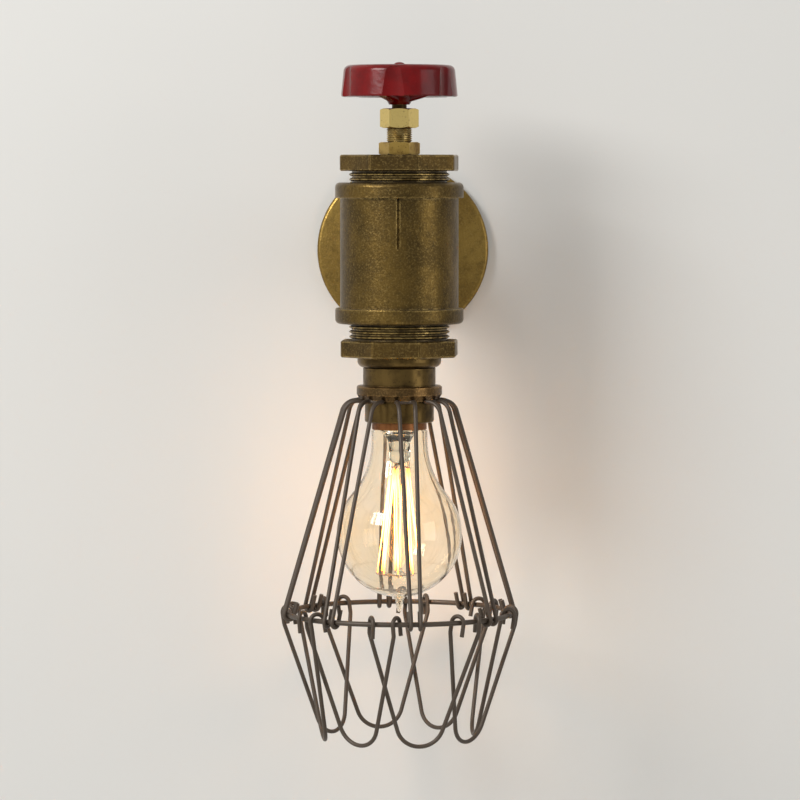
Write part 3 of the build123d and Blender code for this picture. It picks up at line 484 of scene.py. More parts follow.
@dataclass(frozen=True)
class BronzedIron(Finish):
    """Cast or cut iron under a dark bronze plating that is rubbed through to brass on its edges."""

    name: str
    deep: Colour = (0.11, 0.088, 0.052)
    body: Colour = (0.315, 0.25, 0.13)
    warm: Colour = (0.43, 0.34, 0.165)
    rubbed: Colour = (0.80, 0.68, 0.42)
    dust_colour: Colour = (0.55, 0.52, 0.46)
    clouds: float = 0.8
    blotches: float = 0.28
    glints: float = 0.22
    # How far the painted shade in corners and the dirt in pits darken the colour.
    grime_and_shade: float = 0.85
    wear: float = 0.9
    dust: float = 0.12
    roughness: float = 0.32
    grain: float = 0.8 * MM
    grain_depth: float = 0.12 * MM
    edge_radius: float = 1.0 * MM

    def paint(self, board: Palette) -> None:
        """Lay clouds, blotches and glints in the plating, then dirt in pits, painted shade in corners,
        worn edges and dust over it.

        Args:
            board: The material's board.
        """
        clouds = board.effect(Effect.PATCHES, Size=22 * MM)["Mask"]
        blotches = board.effect(Effect.PATCHES, Size=4 * MM, Cover=0.42)["Mask"]
        glints = board.effect(Effect.PATCHES, Size=0.9 * MM, Cover=0.4)["Mask"]
        skin = board.effect(Effect.CAST, Grain=self.grain)
        rub = board.effect(Effect.RUBBED, Radius=self.edge_radius)
        dust = board.effect(Effect.SETTLED, Amount=self.dust)["Mask"]
        scratches = board.effect(Effect.SCRATCHES)["Mask"]
        # Painted shade in corners from ambient occlusion, with dirt in the cast skin's pits.
        grime_and_shade = board.larger(rub["Hollow"], board.times(skin["Pits"], 0.5))
        worn = board.larger(board.times(rub["Edge"], self.wear), board.times(scratches, 0.16))
        colour = board.blend(board.times(clouds, self.clouds), self.body, self.warm)
        colour = board.blend(board.times(blotches, self.blotches), colour, self.deep)
        colour = board.blend(board.times(glints, self.glints), colour, self.rubbed)
        colour = board.blend(board.times(grime_and_shade, self.grime_and_shade), colour, self.deep)
        colour = board.blend(worn, colour, self.rubbed)
        colour = board.blend(dust, colour, self.dust_colour)
        rough = board.between(clouds, self.roughness + 0.08, self.roughness)
        rough = board.between(worn, rough, self.roughness - 0.1)
        rough = board.sum_up("ADD", rough, board.times(dust, 0.4), clamp=True)
        metal = board.between(board.larger(grime_and_shade, dust), 0.95, 0.5)
        board.give(Base_Color=colour, Metallic=metal, Roughness=rough)
        board.emboss(skin["Height"], self.grain_depth)


@dataclass(frozen=True)
class TurnedBrass(Finish):
    """Brass cut on a lathe, with fine tool rings, tarnish clouds and bright edges."""

    name: str
    axis: Vector
    body: Colour = (0.80, 0.66, 0.38)
    tarnish: Colour = (0.45, 0.33, 0.17)
    rubbed: Colour = (0.93, 0.82, 0.56)
    cover: float = 0.45
    clouds: float = 0.75
    specks: float = 0.5
    # How far painted shade darkens the corners.
    grime_and_shade: float = 0.85
    wear: float = 0.8
    roughness: float = 0.28
    ring_pitch: float = 0.25 * MM
    ring_depth: float = 0.02 * MM

    def paint(self, board: Palette) -> None:
        """Lay tarnish and painted shade in corners over the brass, rub its edges bright and cut the
        tool's rings.

        Args:
            board: The material's board.
        """
        rings = board.effect(Effect.TURNED, Place=board.about(self.axis), Pitch=self.ring_pitch)
        patches = board.effect(Effect.PATCHES, Size=8 * MM, Cover=self.cover)
        rub = board.effect(Effect.RUBBED, Radius=0.4 * MM, Reach=2.5 * MM)
        # The darkened tarnish is painted shade, laid in corners that ambient occlusion finds.
        grime_and_shade, dark = darker(self.tarnish, 0.4), darker(self.tarnish, 0.5)
        colour = board.blend(board.times(patches["Mask"], self.clouds), self.body, self.tarnish)
        colour = board.blend(board.times(rub["Hollow"], self.grime_and_shade), colour, grime_and_shade)
        colour = board.blend(board.times(rub["Edge"], self.wear), colour, self.rubbed)
        colour = board.blend(board.times(patches["Speck"], self.specks), colour, dark)
        rough = board.between(patches["Mask"], self.roughness, self.roughness + 0.16)
        rough = board.between(rub["Edge"], rough, self.roughness - 0.08)
        board.give(Base_Color=colour, Metallic=1.0, Roughness=rough)
        board.emboss(rings["Height"], self.ring_depth)


@dataclass(frozen=True)
class Enamel(Finish):
    """Thick glossy enamel on a casting, thin and chipped on its edges."""

    name: str
    body: Colour = (0.44, 0.008, 0.014)
    # Deep red for thick enamel in clouds, and painted shade in corners.
    pooled_and_shade: Colour = (0.25, 0.003, 0.007)
    chip: Colour = (0.20, 0.15, 0.11)
    dust_colour: Colour = (0.50, 0.40, 0.36)
    dust: float = 0.06
    roughness: float = 0.2
    dull: float = 0.6
    gloss: float = 0.24
    coat: float = 0.08
    skin_depth: float = 0.12 * MM

    def paint(self, board: Palette) -> None:
        """Darken the enamel in clouds, paint shade into its corners, chip its edges and dull it with
        scratches and dust.

        Args:
            board: The material's board.
        """
        patches = board.effect(Effect.PATCHES, Size=11 * MM)["Mask"]
        rub = board.effect(Effect.RUBBED, Radius=0.7 * MM, Break_Up=1.6 * MM)
        skin = board.effect(Effect.CAST, Grain=1.6 * MM)
        scratches = board.effect(Effect.SCRATCHES)["Mask"]
        dust = board.effect(Effect.SETTLED, Amount=self.dust)["Mask"]
        chips = board.span(board.times(rub["Edge"], patches), 0.35, 0.5)
        dulled = board.larger(board.times(scratches, 0.5), dust)
        colour = board.blend(board.times(patches, 0.45), self.body, self.pooled_and_shade)
        # Painted shade: ambient occlusion darkens the enamel in its corners.
        colour = board.blend(board.times(rub["Hollow"], 0.7), colour, self.pooled_and_shade)
        colour = board.blend(chips, colour, self.chip)
        colour = board.blend(dust, colour, self.dust_colour)
        board.give(Base_Color=colour, Metallic=board.times(chips, 0.8),
                   Roughness=board.between(dulled, self.roughness, self.dull),
                   Coat_Weight=board.between(chips, self.coat, 0.0), Coat_Roughness=0.05,
                   Specular_IOR_Level=self.gloss)
        board.emboss(skin["Height"], self.skin_depth, 0.7)


@dataclass(frozen=True)
class BlownGlass(Finish):
    """Clear glass with a breath of colour and slow waves in its surface."""

    name: str
    tint: Colour = (1.0, 0.97, 0.90)
    clear: Colour = (1.0, 1.0, 0.99)
    smears: float = 0.05
    bending: float = 1.46
    waves: float = 9 * MM
    wave_depth: float = 0.12 * MM

    def paint(self, board: Palette) -> None:
        """Tint the glass in clouds, smear it a little and lay its waves.

        Args:
            board: The material's board.
        """
        patches = board.effect(Effect.PATCHES, Size=20 * MM)
        colour = board.blend(board.times(patches["Mask"], 0.5), self.tint, self.clear)
        board.give(Base_Color=colour, Roughness=board.between(patches["Speck"], 0.0, self.smears),
                   Transmission_Weight=1.0, IOR=self.bending)
        board.emboss(board.noise(board.place, self.waves, layers=1.0), self.wave_depth)


@dataclass(frozen=True)
class GlowingThread(Finish):
    """A filament at working heat, brightest half-way down and cooler where its supports touch it."""

    name: str
    middle_z: float
    half_length: float
    hot_share: float = 0.72
    hot: Colour = (1.0, 0.74, 0.38)
    cool: Colour = (1.0, 0.50, 0.14)
    power: float = 9.0

    def paint(self, board: Palette) -> None:
        """Let the glow cool towards both ends.

        Args:
            board: The material's board.
        """
        height = board.add("SeparateXYZ", board.place).outputs["Z"]
        off_middle = board.sum_up("ABSOLUTE", board.sum_up("SUBTRACT", height, self.middle_z))
        cooling = board.span(off_middle, self.half_length * self.hot_share, self.half_length)
        colour = board.blend(cooling, self.hot, self.cool)
        board.give(Base_Color=colour, Emission_Color=colour, Emission_Strength=self.power,
                   Roughness=board.between(cooling, 0.5, 0.6))


@dataclass(frozen=True)
class PlainStuff(Finish):
    """An even material, such as rubber, zinc or cord, with a slight grain."""

    name: str
    body: Colour
    shade: Colour
    roughness: float
    metallic: float = 0.0
    grain: float = 1.0 * MM
    depth: float = 0.03 * MM

    def paint(self, board: Palette) -> None:
        """Shade the stuff in soft clouds and give it its grain.

        Args:
            board: The material's board.
        """
        patches = board.effect(Effect.PATCHES, Size=self.grain * 6, Cover=0.45)["Mask"]
        skin = board.effect(Effect.CAST, Grain=self.grain)
        share = board.times(patches, 0.5)
        board.give(Base_Color=board.blend(share, self.body, self.shade), Metallic=self.metallic,
                   Roughness=board.between(share, self.roughness, self.roughness + 0.15))
        board.emboss(skin["Height"], self.depth)


@dataclass(frozen=True)
class FadingPaint(Finish):
    """Matt pale paint that fades at a round sheet's rim and is open to a camera behind the sheet."""

    name: str
    middle: Vector
    reach: float
    body: Colour = (0.86, 0.855, 0.84)
    fade_from: float = 0.5
    gone_at: float = 0.96

    def paint(self, board: Palette) -> None:
        """Show the paint to whatever looks at it from the front, and to the light not at all.

        Args:
            board: The material's board.
        """
        distance = board.add("VectorMath", board.about(self.middle), operation="LENGTH")
        solid = board.span(distance.outputs["Value"], self.reach * self.gone_at,
                           self.reach * self.fade_from)
        front = board.rest_of(board.add("NewGeometry").outputs["Backfacing"])
        ray = board.add("LightPath").outputs
        mirrored = board.larger(ray["Is Glossy Ray"], ray["Is Transmission Ray"])
        looked_at = board.larger(ray["Is Camera Ray"], mirrored)
        board.give(Base_Color=self.body, Roughness=0.9, Specular_IOR_Level=0.1,
                   Alpha=board.times(board.times(solid, front), looked_at))


class Bench:
    """The modelling moves that the made pieces share."""

    @staticmethod
    def clear() -> None:
        """Leave edit mode and select nothing."""
        if bpy.context.object and bpy.context.object.mode != "OBJECT":
            bpy.ops.object.mode_set(mode="OBJECT")
        bpy.ops.object.select_all(action="DESELECT")

    @staticmethod
    def hold(piece: Piece) -> None:
        """Select one piece alone and make it the active one."""
        Bench.clear()
        piece.select_set(True)
        bpy.context.view_layer.objects.active = piece

    @staticmethod
    def settle(piece: Piece, name: str) -> Piece:
        """Name a piece and move its place into its mesh.

        Args:
            piece: The piece.
            name: Its name from now on.

        Returns:
            The piece.
        """
        Bench.hold(piece)
        piece.name = name
        piece.data.name = name
        bpy.ops.object.transform_apply(location=True, rotation=True, scale=True)
        return piece

    @staticmethod
    def finish_with(piece: Piece, kind: str, **settings: object) -> None:
        """Add a modifier and apply it.

        Args:
            piece: The piece.
            kind: The name of the modifier's type.
            **settings: The modifier's properties, by name.
        """
        Bench.hold(piece)
        modifier = piece.modifiers.new(kind.lower(), kind)
        for name, value in settings.items():
            setattr(modifier, name, value)
        bpy.ops.object.modifier_apply(modifier=modifier.name)

    @staticmethod
    def smooth(piece: Piece, degrees: float) -> None:
        """Shade a piece smooth except over sharp edges."""
        Bench.hold(piece)
        bpy.ops.object.shade_smooth_by_angle(angle=math.radians(degrees))

    @staticmethod
    def hang(name: str, made: bpy.types.ID, place: Vector) -> Piece:
        """Hang a lamp or a camera in the scene.

        Args:
            name: Its name.
            made: The lamp or the camera.
            place: Where it hangs.

        Returns:
            The object that holds it.
        """
        holder = bpy.data.objects.new(name, made)
        holder.location = place
        bpy.context.scene.collection.objects.link(holder)
        return holder


class Lathe:
    """Shapes a round piece ring by ring about an upright axis, as glass is worked on a lathe."""

    def __init__(self, axis: Vector, sides: int) -> None:
        """Set the axis and the number of points on a ring."""
        self.axis = axis
        self.sides = sides
        self.radius = 0.0
        self.height = 0.0

    def start(self, radius: float, height: float) -> None:
        """Add the first ring and stay in edit mode with it selected."""
        Bench.clear()
        bpy.ops.mesh.primitive_circle_add(vertices=self.sides, radius=radius,
                                          location=(self.axis.x, self.axis.y, height))
        bpy.ops.object.transform_apply(location=True, rotation=True, scale=True)
        bpy.ops.object.mode_set(mode="EDIT")
        bpy.ops.mesh.select_all(action="SELECT")
        self.radius, self.height = radius, height

    def draw(self, radius: float, height: float) -> None:
        """Extrude the last ring to a new radius and height."""
        rise = height - self.height
        bpy.ops.mesh.extrude_region_move(TRANSFORM_OT_translate={"value": (0, 0, rise)})
        share = radius / self.radius
        self.radius, self.height = radius, height
        self.squeeze(share, share)

    def squeeze(self, across: float, through: float) -> None:
        """Scale the last ring from its sides, and from its front and back."""
        middle = (self.axis.x, self.axis.y, self.height)
        bpy.ops.transform.resize(value=(across, through, 1), center_override=middle)

    def finish(self, name: str) -> Piece:
        """Draw the last ring together into one point, merge doubled points and turn the faces out.

        Args:
            name: The piece's name.

        Returns:
            The piece.
        """
        bpy.ops.mesh.merge(type="CENTER")
        bpy.ops.mesh.select_all(action="SELECT")
        bpy.ops.mesh.remove_doubles(threshold=0.001 * MM)
        bpy.ops.mesh.normals_make_consistent(inside=False)
        bpy.ops.object.mode_set(mode="OBJECT")
        return Bench.settle(bpy.context.object, name)


def bent_wire(name: str, runs: list[list[Vector]], diameter: float) -> Piece:
    """Bend round wires along smooth lines.

    Args:
        name: The piece's name.
        runs: For each wire, the points that steer its line.
        diameter: Thickness of the wire.

    Returns:
        The wires as one mesh.
    """
    Bench.clear()
    bpy.ops.curve.primitive_nurbs_path_add(location=(0, 0, 0))
    wire = bpy.context.object
    wire.data.splines.clear()
    for run in runs:
        line = wire.data.splines.new("NURBS")
        line.points.add(len(run) - 1)
        for point, place in zip(line.points, run):
            point.co = (place.x, place.y, place.z, 1.0)
        line.order_u = 3
        line.use_endpoint_u = True
        line.resolution_u = 4
    wire.data.bevel_depth = diameter / 2
    wire.data.bevel_resolution = 3
    wire.data.use_fill_caps = True
    bpy.ops.object.convert(target="MESH")
    piece = Bench.settle(bpy.context.object, name)
    Bench.smooth(piece, 60)
    return piece


@dataclass
class Bulb:
    """What shows of the bulb: blown glass, glass stem, filament, and its anchors and leads."""

    axis: Vector
    round_d: float = 60.0 * MM
    neck_d: float = 26.8 * MM
    neck_straight: float = 6.0 * MM
    wall: float = 0.9 * MM
    tail_d: float = 25.2 * MM
    tail_h: float = 4.0 * MM
    pip_d: float = 6.4 * MM
    pip_tip_d: float = 2.2 * MM
    pip_h: float = 7.4 * MM
    glass_sides: int = 96
    stem_sides: int = 40
    stem_rod_d: float = 3.0 * MM
    stem_base_d: float = 10.0 * MM
    stem_base_drop: float = 8.0 * MM
    stem_flare_d: float = 22.6 * MM
    stem_flare_rise: float = 1.2 * MM
    stem_button_d: float = 5.0 * MM
    stem_button_h: float = 4.8 * MM
    stem_overhang: float = 3.0 * MM
    # The pinch, ring by ring: depth below its start and radius in mm, and how flat it is.
    pinch: tuple[tuple[float, float, float], ...] = (
        (0.0, 5.0, 1.0), (1.5, 5.1, 0.8), (3.0, 5.3, 0.7), (6.5, 5.2, 1.0), (7.6, 4.2, 1.15))
    strands: int = 16
    # The gap between the two leads, in gaps between strands.
    lead_gap: float = 1.5
    top_r: float = 4.6 * MM
    end_r: float = 10.6 * MM
    thread_d: float = 0.5 * MM
    anchor_d: float = 0.4 * MM
    hook_r: float = 0.45 * MM
    glow_watts: float = 0.2
    glow: Colour = (1.0, 0.76, 0.48)
    tip_z: float = field(init=False)
    glass_top: float = field(init=False)
    thread_top: float = field(init=False)
    thread_foot: float = field(init=False)

    def __post_init__(self) -> None:
        """Read the bulb's heights from the construction."""
        thread_low, thread_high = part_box("filament")
        self.tip_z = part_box("bulb_glass")[0].z
        self.glass_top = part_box("bulb_cap")[0].z
        self.thread_top = thread_high.z - self.thread_d / 2
        self.thread_foot = thread_low.z + self.thread_d / 2

    def outline(self) -> list[tuple[float, float]]:
        """Work out the outside of the glass from its neck down to the end of its pip.

        Returns:
            Pairs of radius and height.
        """
        neck_r, round_r = self.neck_d / 2, self.round_d / 2
        pip_r, tip_r = self.pip_d / 2, self.pip_tip_d / 2
        round_z = self.tip_z + self.pip_h + round_r
        flare_z = self.glass_top - self.neck_straight
        rise = flare_z - round_z
        flare_r = (rise ** 2 + neck_r ** 2 - round_r ** 2) / (2 * (round_r - neck_r))
        turn = math.atan2(rise, neck_r + flare_r)
        lines = [(neck_r, self.glass_top - drop * MM) for drop in (0.8, 2.4)]
        steps = 12
        for step in range(steps + 1):
            bend = turn * step / steps
            lines.append((neck_r + flare_r * (1 - math.cos(bend)), flare_z - flare_r * math.sin(bend)))
        pip_turn = -math.acos(pip_r / round_r)
        steps = 28
        for step in range(1, steps + 1):
            bend = turn + (pip_turn - turn) * step / steps
            lines.append((round_r * math.cos(bend), round_z + round_r * math.sin(bend)))
        foot_z = lines[-1][1]
        for share in (0.18, 0.4, 0.65, 0.85):
            slim = pip_r + (tip_r - pip_r) * math.sqrt(share)
            lines.append((slim, foot_z + (self.tip_z + tip_r - foot_z) * share))
        for bend in (0.0, math.pi / 6, math.pi / 3):
            lines.append((tip_r * math.cos(bend), self.tip_z + tip_r * (1 - math.sin(bend))))
        return lines

    def blow_glass(self) -> Piece:
        """Model the envelope as one shell with a wall.

        Returns:
            The glass.
        """
        lathe = Lathe(self.axis, self.glass_sides)
        lathe.start(self.tail_d / 2, self.glass_top + self.tail_h)
        lathe.draw(self.tail_d / 2, self.glass_top)
        for radius, height in self.outline():
            lathe.draw(radius, height)
        lathe.draw(0.3 * MM, self.tip_z)
        glass = lathe.finish("bulb_envelope")
        Bench.finish_with(glass, "SOLIDIFY", thickness=self.wall, offset=-1.0, use_even_offset=True)
        Bench.smooth(glass, 70)
        return glass

    def draw_stem(self) -> Piece:
        """Model the glass stem: a flare, a pinch where the leads are sealed, a rod and its button.

        Returns:
            The stem.
        """
        flare_r, base_r = self.stem_flare_d / 2, self.stem_base_d / 2
        rod_r, button_r = self.stem_rod_d / 2, self.stem_button_d / 2
        flare_z = self.glass_top + self.stem_flare_rise
        base_z = self.glass_top - self.stem_base_drop
        foot_z = self.thread_foot - self.stem_overhang
        lathe = Lathe(self.axis, self.stem_sides)
        lathe.start(0.4 * MM, flare_z + 0.4 * MM)
        lathe.draw(flare_r - 0.8 * MM, flare_z + 0.6 * MM)
        lathe.draw(flare_r, flare_z)
        steps = 8
        for step in range(1, steps):
            share = step / steps
            radius = flare_r + (base_r - flare_r) * math.sin(share * math.pi / 2)
            lathe.draw(radius, flare_z + (base_z - flare_z) * share)
        for drop, radius, flatness in self.pinch:
            lathe.draw(radius * MM, base_z - drop * MM)
            lathe.squeeze(1, flatness)
        lathe.draw(rod_r * 1.3, base_z - 8.6 * MM)
        for height in (base_z - 9.6 * MM, self.thread_top + 1.6 * MM, self.thread_top - 1.6 * MM,
                       foot_z + 5.2 * MM):
            lathe.draw(rod_r, height)
        for step in range(1, steps):
            bend = math.pi * step / steps
            drop = self.stem_button_h / 2 * math.cos(bend)
            lathe.draw(max(button_r * math.sin(bend), 0.5 * MM), foot_z + 2.6 * MM + drop)
        stem = lathe.finish("bulb_stem")
        Bench.finish_with(stem, "SUBSURF", levels=1, render_levels=1)
        Bench.smooth(stem, 80)
        return stem

    def on_axis(self, height: float) -> Vector:
        """Find the axis's point at a height."""
        return Vector((self.axis.x, self.axis.y, height))

    def turning_points(self) -> list[tuple[Vector, Vector]]:
        """Work out where the filament turns, up and down round the stem.

        Returns:
            The points in the order that the thread takes them, each with its way outwards.
        """
        points = []
        for index in range(self.strands + 1):
            turn = math.radians(index * 360 / (self.strands + self.lead_gap))
            reach = self.end_r if index % 2 else self.top_r
            height = self.thread_foot if index % 2 else self.thread_top
            outward = Vector((math.cos(turn), math.sin(turn), 0))
            points.append((self.on_axis(height) + outward * reach, outward))
        return points

    def bend_thread(self) -> Piece:
        """Bend the filament through its turning points, with a small loop at each.

        Returns:
            The filament.
        """
        points = [point for point, _ in self.turning_points()]
        steer = [points[0]]
        for before, here, after in zip(points, points[1:], points[2:]):
            come, go = (before - here).normalized(), (after - here).normalized()
            steer += [here + come * 1.4 * MM, here + come * 0.3 * MM]
            steer += [here + go * 0.3 * MM, here + go * 1.4 * MM]
        steer.append(points[-1])
        return bent_wire("bulb_filament", [steer], self.thread_d)

    def bend_anchors(self) -> Piece:
        """Bend the anchors that hold the filament's turns, and its two leads.

        Returns:
            The anchors and leads.
        """
        points = self.turning_points()
        runs = []
        for index, (point, outward) in enumerate(points):
            away = -UP if index % 2 else UP
            root = self.on_axis(point.z) + away * 1.2 * MM + outward * 1.0 * MM
            hook = point + away * self.hook_r
            runs.append([root, root + outward * 1.6 * MM, hook - outward * 2 * self.hook_r,
                         hook + outward * 0.1 * MM, point + outward * self.hook_r,
                         point - away * 0.35 * MM + outward * 0.1 * MM])
        for point, outward in (points[0], points[-1]):
            start = self.on_axis(self.glass_top - 10.0 * MM) + outward * 3.2 * MM
            runs.append([start, start - UP * 4.5 * MM, point + UP * 3.4 * MM + outward * 0.3 * MM,
                         point + UP * 0.4 * MM])
        return bent_wire("bulb_anchors", runs, self.anchor_d)

    def build(self, finishes: dict[str, Material]) -> None:
        """Model the bulb's pieces, dress them and put each on its body.

        Args:
            finishes: The materials by name.
        """
        for piece, stands_for, finish, slot in (
                (self.blow_glass(), "bulb_glass", "bulb_glass", "clear_glass"),
                (self.draw_stem(), "glass_mount", "stem_glass", "clear_glass"),
                (self.bend_thread(), "filament", "filament_glow", "filament"),
                (self.bend_anchors(), "filament_supports", "nickel_wire", "steel")):
            piece.data.materials.append(finishes[finish])
            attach(piece, "bulb")
            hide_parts(stands_for)
            piece.visible_shadow = not slot.endswith("glass")
            LOG.info("%s stands for %s, %d faces", piece.name, stands_for, len(piece.data.polygons))
            if stands_for == "filament":
                self.light_up(piece)

    def light_up(self, thread: Piece) -> None:
        """Hang a small warm lamp among the filament's strands, which casts what they would cast.

        Args:
            thread: The filament, which carries the lamp.
        """
        glow = bpy.data.lights.new("bulb_glow", "POINT")
        glow.color = seen(self.glow)[:3]
        glow.energy = self.glow_watts
        glow.shadow_soft_size = self.end_r
        lamp = Bench.hang("bulb_glow", glow, self.on_axis((self.thread_top + self.thread_foot) / 2))
        lamp.visible_camera = lamp.visible_glossy = lamp.visible_transmission = False
        lamp.parent = thread
        thread.active_material.cycles.emission_sampling = "NONE"


@dataclass
class Dresser:
    """Gives the construction's pieces their finishes.

    The guard's wires and the porcelain keep the plain materials that they come with.
    """

    nodes: dict[str, Piece]
    finishes: dict[str, Material]
    plan: dict[str, tuple[str, ...]] = field(default_factory=lambda: {
        "tee_bronze": ("tee_body",),
        "flange_bronze": ("wall_flange",),
        "forged_bronze": ("upper_bushing", "lower_bushing"),
        "pipe_bronze": ("branch_nipple",),
        "holder_brass": ("holder_adapter", "holder_sleeve"),
        "collar_bronze": ("guard_collar",),
        "bonnet_brass": ("valve_bonnet",),
        "nut_brass": ("packing_nut", "gland_follower", "wheel_washer", "disc_carrier", "disc_retainer",
                      "disc_screw"),
        "stem_brass": ("valve_stem",),
        "contact_brass": ("screw_shell", "centre_contact", "contact_rivets", "live_terminal",
                          "neutral_terminal"),
        "cap_copper": ("bulb_cap", "cap_contact"),
        "red_enamel": ("handwheel", "wheel_nut"),
        "gland_cord": ("gland_packing",),
        "black_rubber": ("rubber_disc",),
        "cap_vitrite": ("cap_insulator",),
        "zinc": ("terminal_screws", "block_clamp_screws", "block_fixing_screws", "earth_washer",
                 "earth_screw"),
        "brown_cover": ("live_lead",),
        "blue_cover": ("neutral_lead",),
    })

    def build(self) -> None:
        """Put each planned finish in its nodes' material slots."""
        for finish, names in self.plan.items():
            for name in names:
                for slot in self.nodes[name].material_slots:
                    slot.material = self.finishes[finish]
                LOG.info("%s wears %s", name, finish)


@dataclass
class Studio:
    """The plain floor and wall, the soft lights and the camera."""

    middle: Vector
    lamp_axis: Vector
    floor_z: float = -0.42
    floor_reach: float = 1.5
    wall_gap: float = 0.3 * MM
    wall_reach: float = 0.70
    eye_height: float = 0.040
    eye_aside: float = 0.040
    eye_distance: float = 2.0
    view_height: float = 0.385
    sensor: float = 36.0
    # Each soft light: its name, its place, its size and its watts.
    lights: tuple[tuple[str, tuple[float, float, float], float, float], ...] = (
        ("key_light", (-1.1, -1.2, 0.8), 0.7, 21.0),
        ("fill_light", (1.5, -0.9, 0.1), 0.9, 4.0),
        ("back_light", (0.5, 1.2, 0.9), 1.0, 7.0))
    dim_side: Colour = (0.66, 0.66, 0.66)
    lit_side: Colour = (0.86, 0.86, 0.85)

    def hang_sheet(self, name: str, place: Vector, turn: float, reach: float) -> None:
        """Put up a round pale sheet that fades at its rim and is open to a camera behind it.

        Args:
            name: The sheet's name.
            place: Its middle.
            turn: How far it is tipped up from lying flat.
            reach: Its radius.
        """
        Bench.clear()
        bpy.ops.mesh.primitive_circle_add(vertices=64, radius=reach, fill_type="NGON", location=place,
                                          rotation=(turn, 0, 0))
        sheet = Bench.settle(bpy.context.object, name)
        sheet.data.materials.append(FadingPaint(name + "_paint", place, reach).material(EffectShelf()))
        sheet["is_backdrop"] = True

    def aim(self, holder: Piece) -> float:
        """Turn a lamp or the camera towards the object's middle.

        Args:
            holder: The object that holds it.

        Returns:
            How far away the middle is.
        """
        way = self.middle - holder.location
        holder.rotation_euler = way.to_track_quat("-Z", "Y").to_euler()
        return way.length

    def hang_lights(self) -> None:
        """Hang three soft lights and set an even world round the object."""
        for name, place, size, watts in self.lights:
            lamp = bpy.data.lights.new(name, "AREA")
            lamp.energy = watts
            lamp.size = size
            self.aim(Bench.hang(name, lamp, Vector(place)))
        world = bpy.data.worlds.new("studio")
        world.use_nodes = True
        board = Board(world.node_tree)
        way = board.add("TexCoord").outputs["Generated"]
        parts = board.add("SeparateXYZ", way).outputs
        lit = board.span(board.sum_up("ADD", parts["X"], board.times(parts["Z"], -0.5)), 0.8, -0.8)
        board.fill(board.tree.nodes["Background"], Color=board.blend(lit, self.dim_side, self.lit_side))
        bpy.context.scene.world = world

    def set_camera(self) -> None:
        """Stand the camera where the photograph was taken from and aim it at the object's middle."""
        camera = bpy.data.cameras.new("camera")
        camera.sensor_width = self.sensor
        stand = Vector((self.eye_aside, -self.eye_distance, self.eye_height))
        holder = Bench.hang("camera", camera, self.lamp_axis + stand)
        camera.lens = self.sensor / self.view_height * self.aim(holder)
        bpy.context.scene.camera = holder

    def build(self) -> None:
        """Set up floor, wall, lights, camera and the plain view transform."""
        x, y = self.lamp_axis.x, self.lamp_axis.y
        self.hang_sheet("floor", Vector((x, y, self.floor_z)), 0.0, self.floor_reach)
        self.hang_sheet("wall", Vector((x, self.wall_gap, self.middle.z)), math.pi / 2, self.wall_reach)
        self.hang_lights()
        self.set_camera()
        bpy.context.scene.view_settings.view_transform = "Standard"


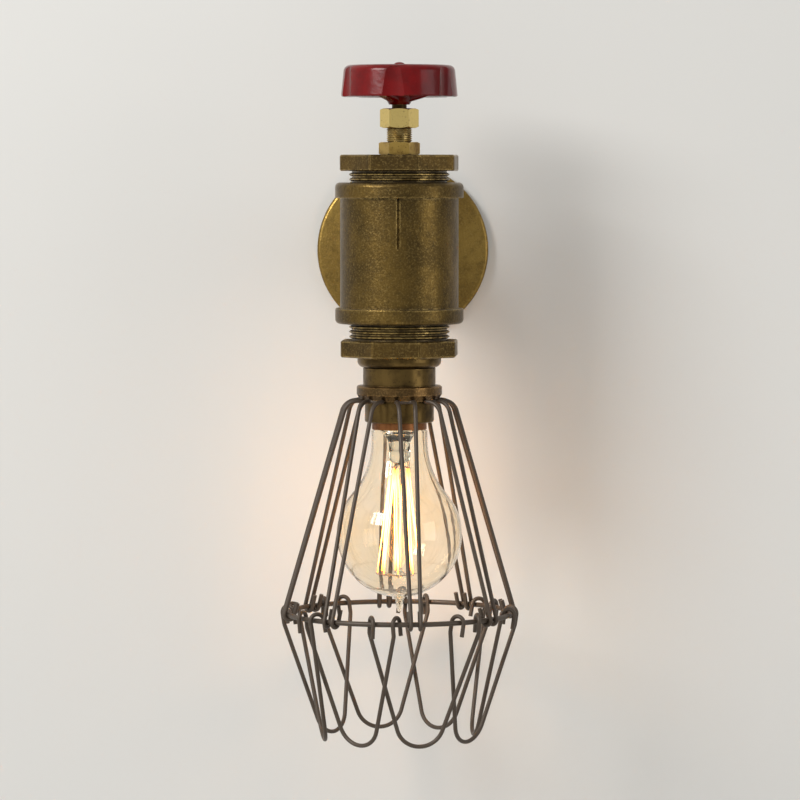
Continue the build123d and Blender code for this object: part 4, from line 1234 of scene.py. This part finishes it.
def mix_finishes(lamp_axis: Vector, bulb: Bulb) -> dict[str, Material]:
    """Build every finish of the light.

    Args:
        lamp_axis: The upright axis that the turned pieces share, as its point at z = 0.
        bulb: The bulb, for the filament's place.

    Returns:
        The materials by name.
    """
    shelf = EffectShelf()
    finishes: tuple[Finish, ...] = (
        BronzedIron("tee_bronze"),
        BronzedIron("flange_bronze", body=(0.50, 0.40, 0.20), warm=(0.60, 0.49, 0.25), grain=0.7 * MM),
        BronzedIron("forged_bronze", body=(0.30, 0.235, 0.125), warm=(0.41, 0.32, 0.16), grain=0.7 * MM,
                    grain_depth=0.07 * MM, roughness=0.29, edge_radius=0.7 * MM),
        BronzedIron("pipe_bronze", grain=0.5 * MM, grain_depth=0.05 * MM),
        BronzedIron("collar_bronze", body=(0.30, 0.235, 0.14), warm=(0.40, 0.30, 0.17),
                    rubbed=(0.84, 0.66, 0.42), grain=0.6 * MM, grain_depth=0.04 * MM, roughness=0.27,
                    edge_radius=0.5 * MM, dust=0.05),
        TurnedBrass("holder_brass", lamp_axis, body=(0.40, 0.32, 0.18), tarnish=(0.22, 0.17, 0.10),
                    rubbed=(0.76, 0.61, 0.38)),
        TurnedBrass("bonnet_brass", lamp_axis, body=(0.70, 0.58, 0.31)),
        TurnedBrass("nut_brass", lamp_axis, body=(0.86, 0.76, 0.47), cover=0.3, roughness=0.22),
        TurnedBrass("stem_brass", lamp_axis, body=(0.46, 0.37, 0.22), tarnish=(0.24, 0.18, 0.11),
                    rubbed=(0.72, 0.60, 0.38), cover=0.6, roughness=0.34),
        TurnedBrass("contact_brass", lamp_axis),
        TurnedBrass("cap_copper", lamp_axis, body=(0.55, 0.36, 0.22), tarnish=(0.35, 0.21, 0.13),
                    rubbed=(0.82, 0.60, 0.40)),
        Enamel("red_enamel"),
        BlownGlass("bulb_glass"),
        BlownGlass("stem_glass", tint=(0.97, 0.985, 0.97), waves=3 * MM),
        GlowingThread("filament_glow", (bulb.thread_top + bulb.thread_foot) / 2,
                      (bulb.thread_top - bulb.thread_foot) / 2),
        PlainStuff("nickel_wire", (0.62, 0.60, 0.57), (0.42, 0.40, 0.37), 0.3, metallic=1.0,
                   grain=0.4 * MM),
        PlainStuff("gland_cord", (0.26, 0.25, 0.23), (0.12, 0.12, 0.11), 0.8, depth=0.2 * MM),
        PlainStuff("black_rubber", (0.10, 0.10, 0.10), (0.06, 0.06, 0.06), 0.7),
        PlainStuff("cap_vitrite", (0.08, 0.08, 0.10), (0.04, 0.04, 0.05), 0.12),
        PlainStuff("zinc", (0.70, 0.71, 0.72), (0.52, 0.53, 0.55), 0.3, metallic=1.0, grain=0.5 * MM),
        PlainStuff("brown_cover", (0.36, 0.20, 0.12), (0.28, 0.15, 0.09), 0.45),
        PlainStuff("blue_cover", (0.16, 0.30, 0.62), (0.12, 0.23, 0.50), 0.45),
    )
    return {finish.name: finish.material(shelf) for finish in finishes}


def main() -> None:
    """Load the construction, dress it, model the bulb and set up the studio."""
    logging.basicConfig(level=logging.INFO, format="%(name)s: %(message)s")
    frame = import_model()
    built_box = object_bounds()
    ring_low, ring_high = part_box("guard_ring")
    lamp_axis = (ring_low + ring_high) / 2
    lamp_axis.z = 0.0
    bulb = Bulb(lamp_axis)
    finishes = mix_finishes(lamp_axis, bulb)
    Dresser(frame["nodes"], finishes).build()
    bulb.build(finishes)
    Studio((built_box[0] + built_box[1]) / 2, lamp_axis).build()


if __name__ == "__main__":
    main()
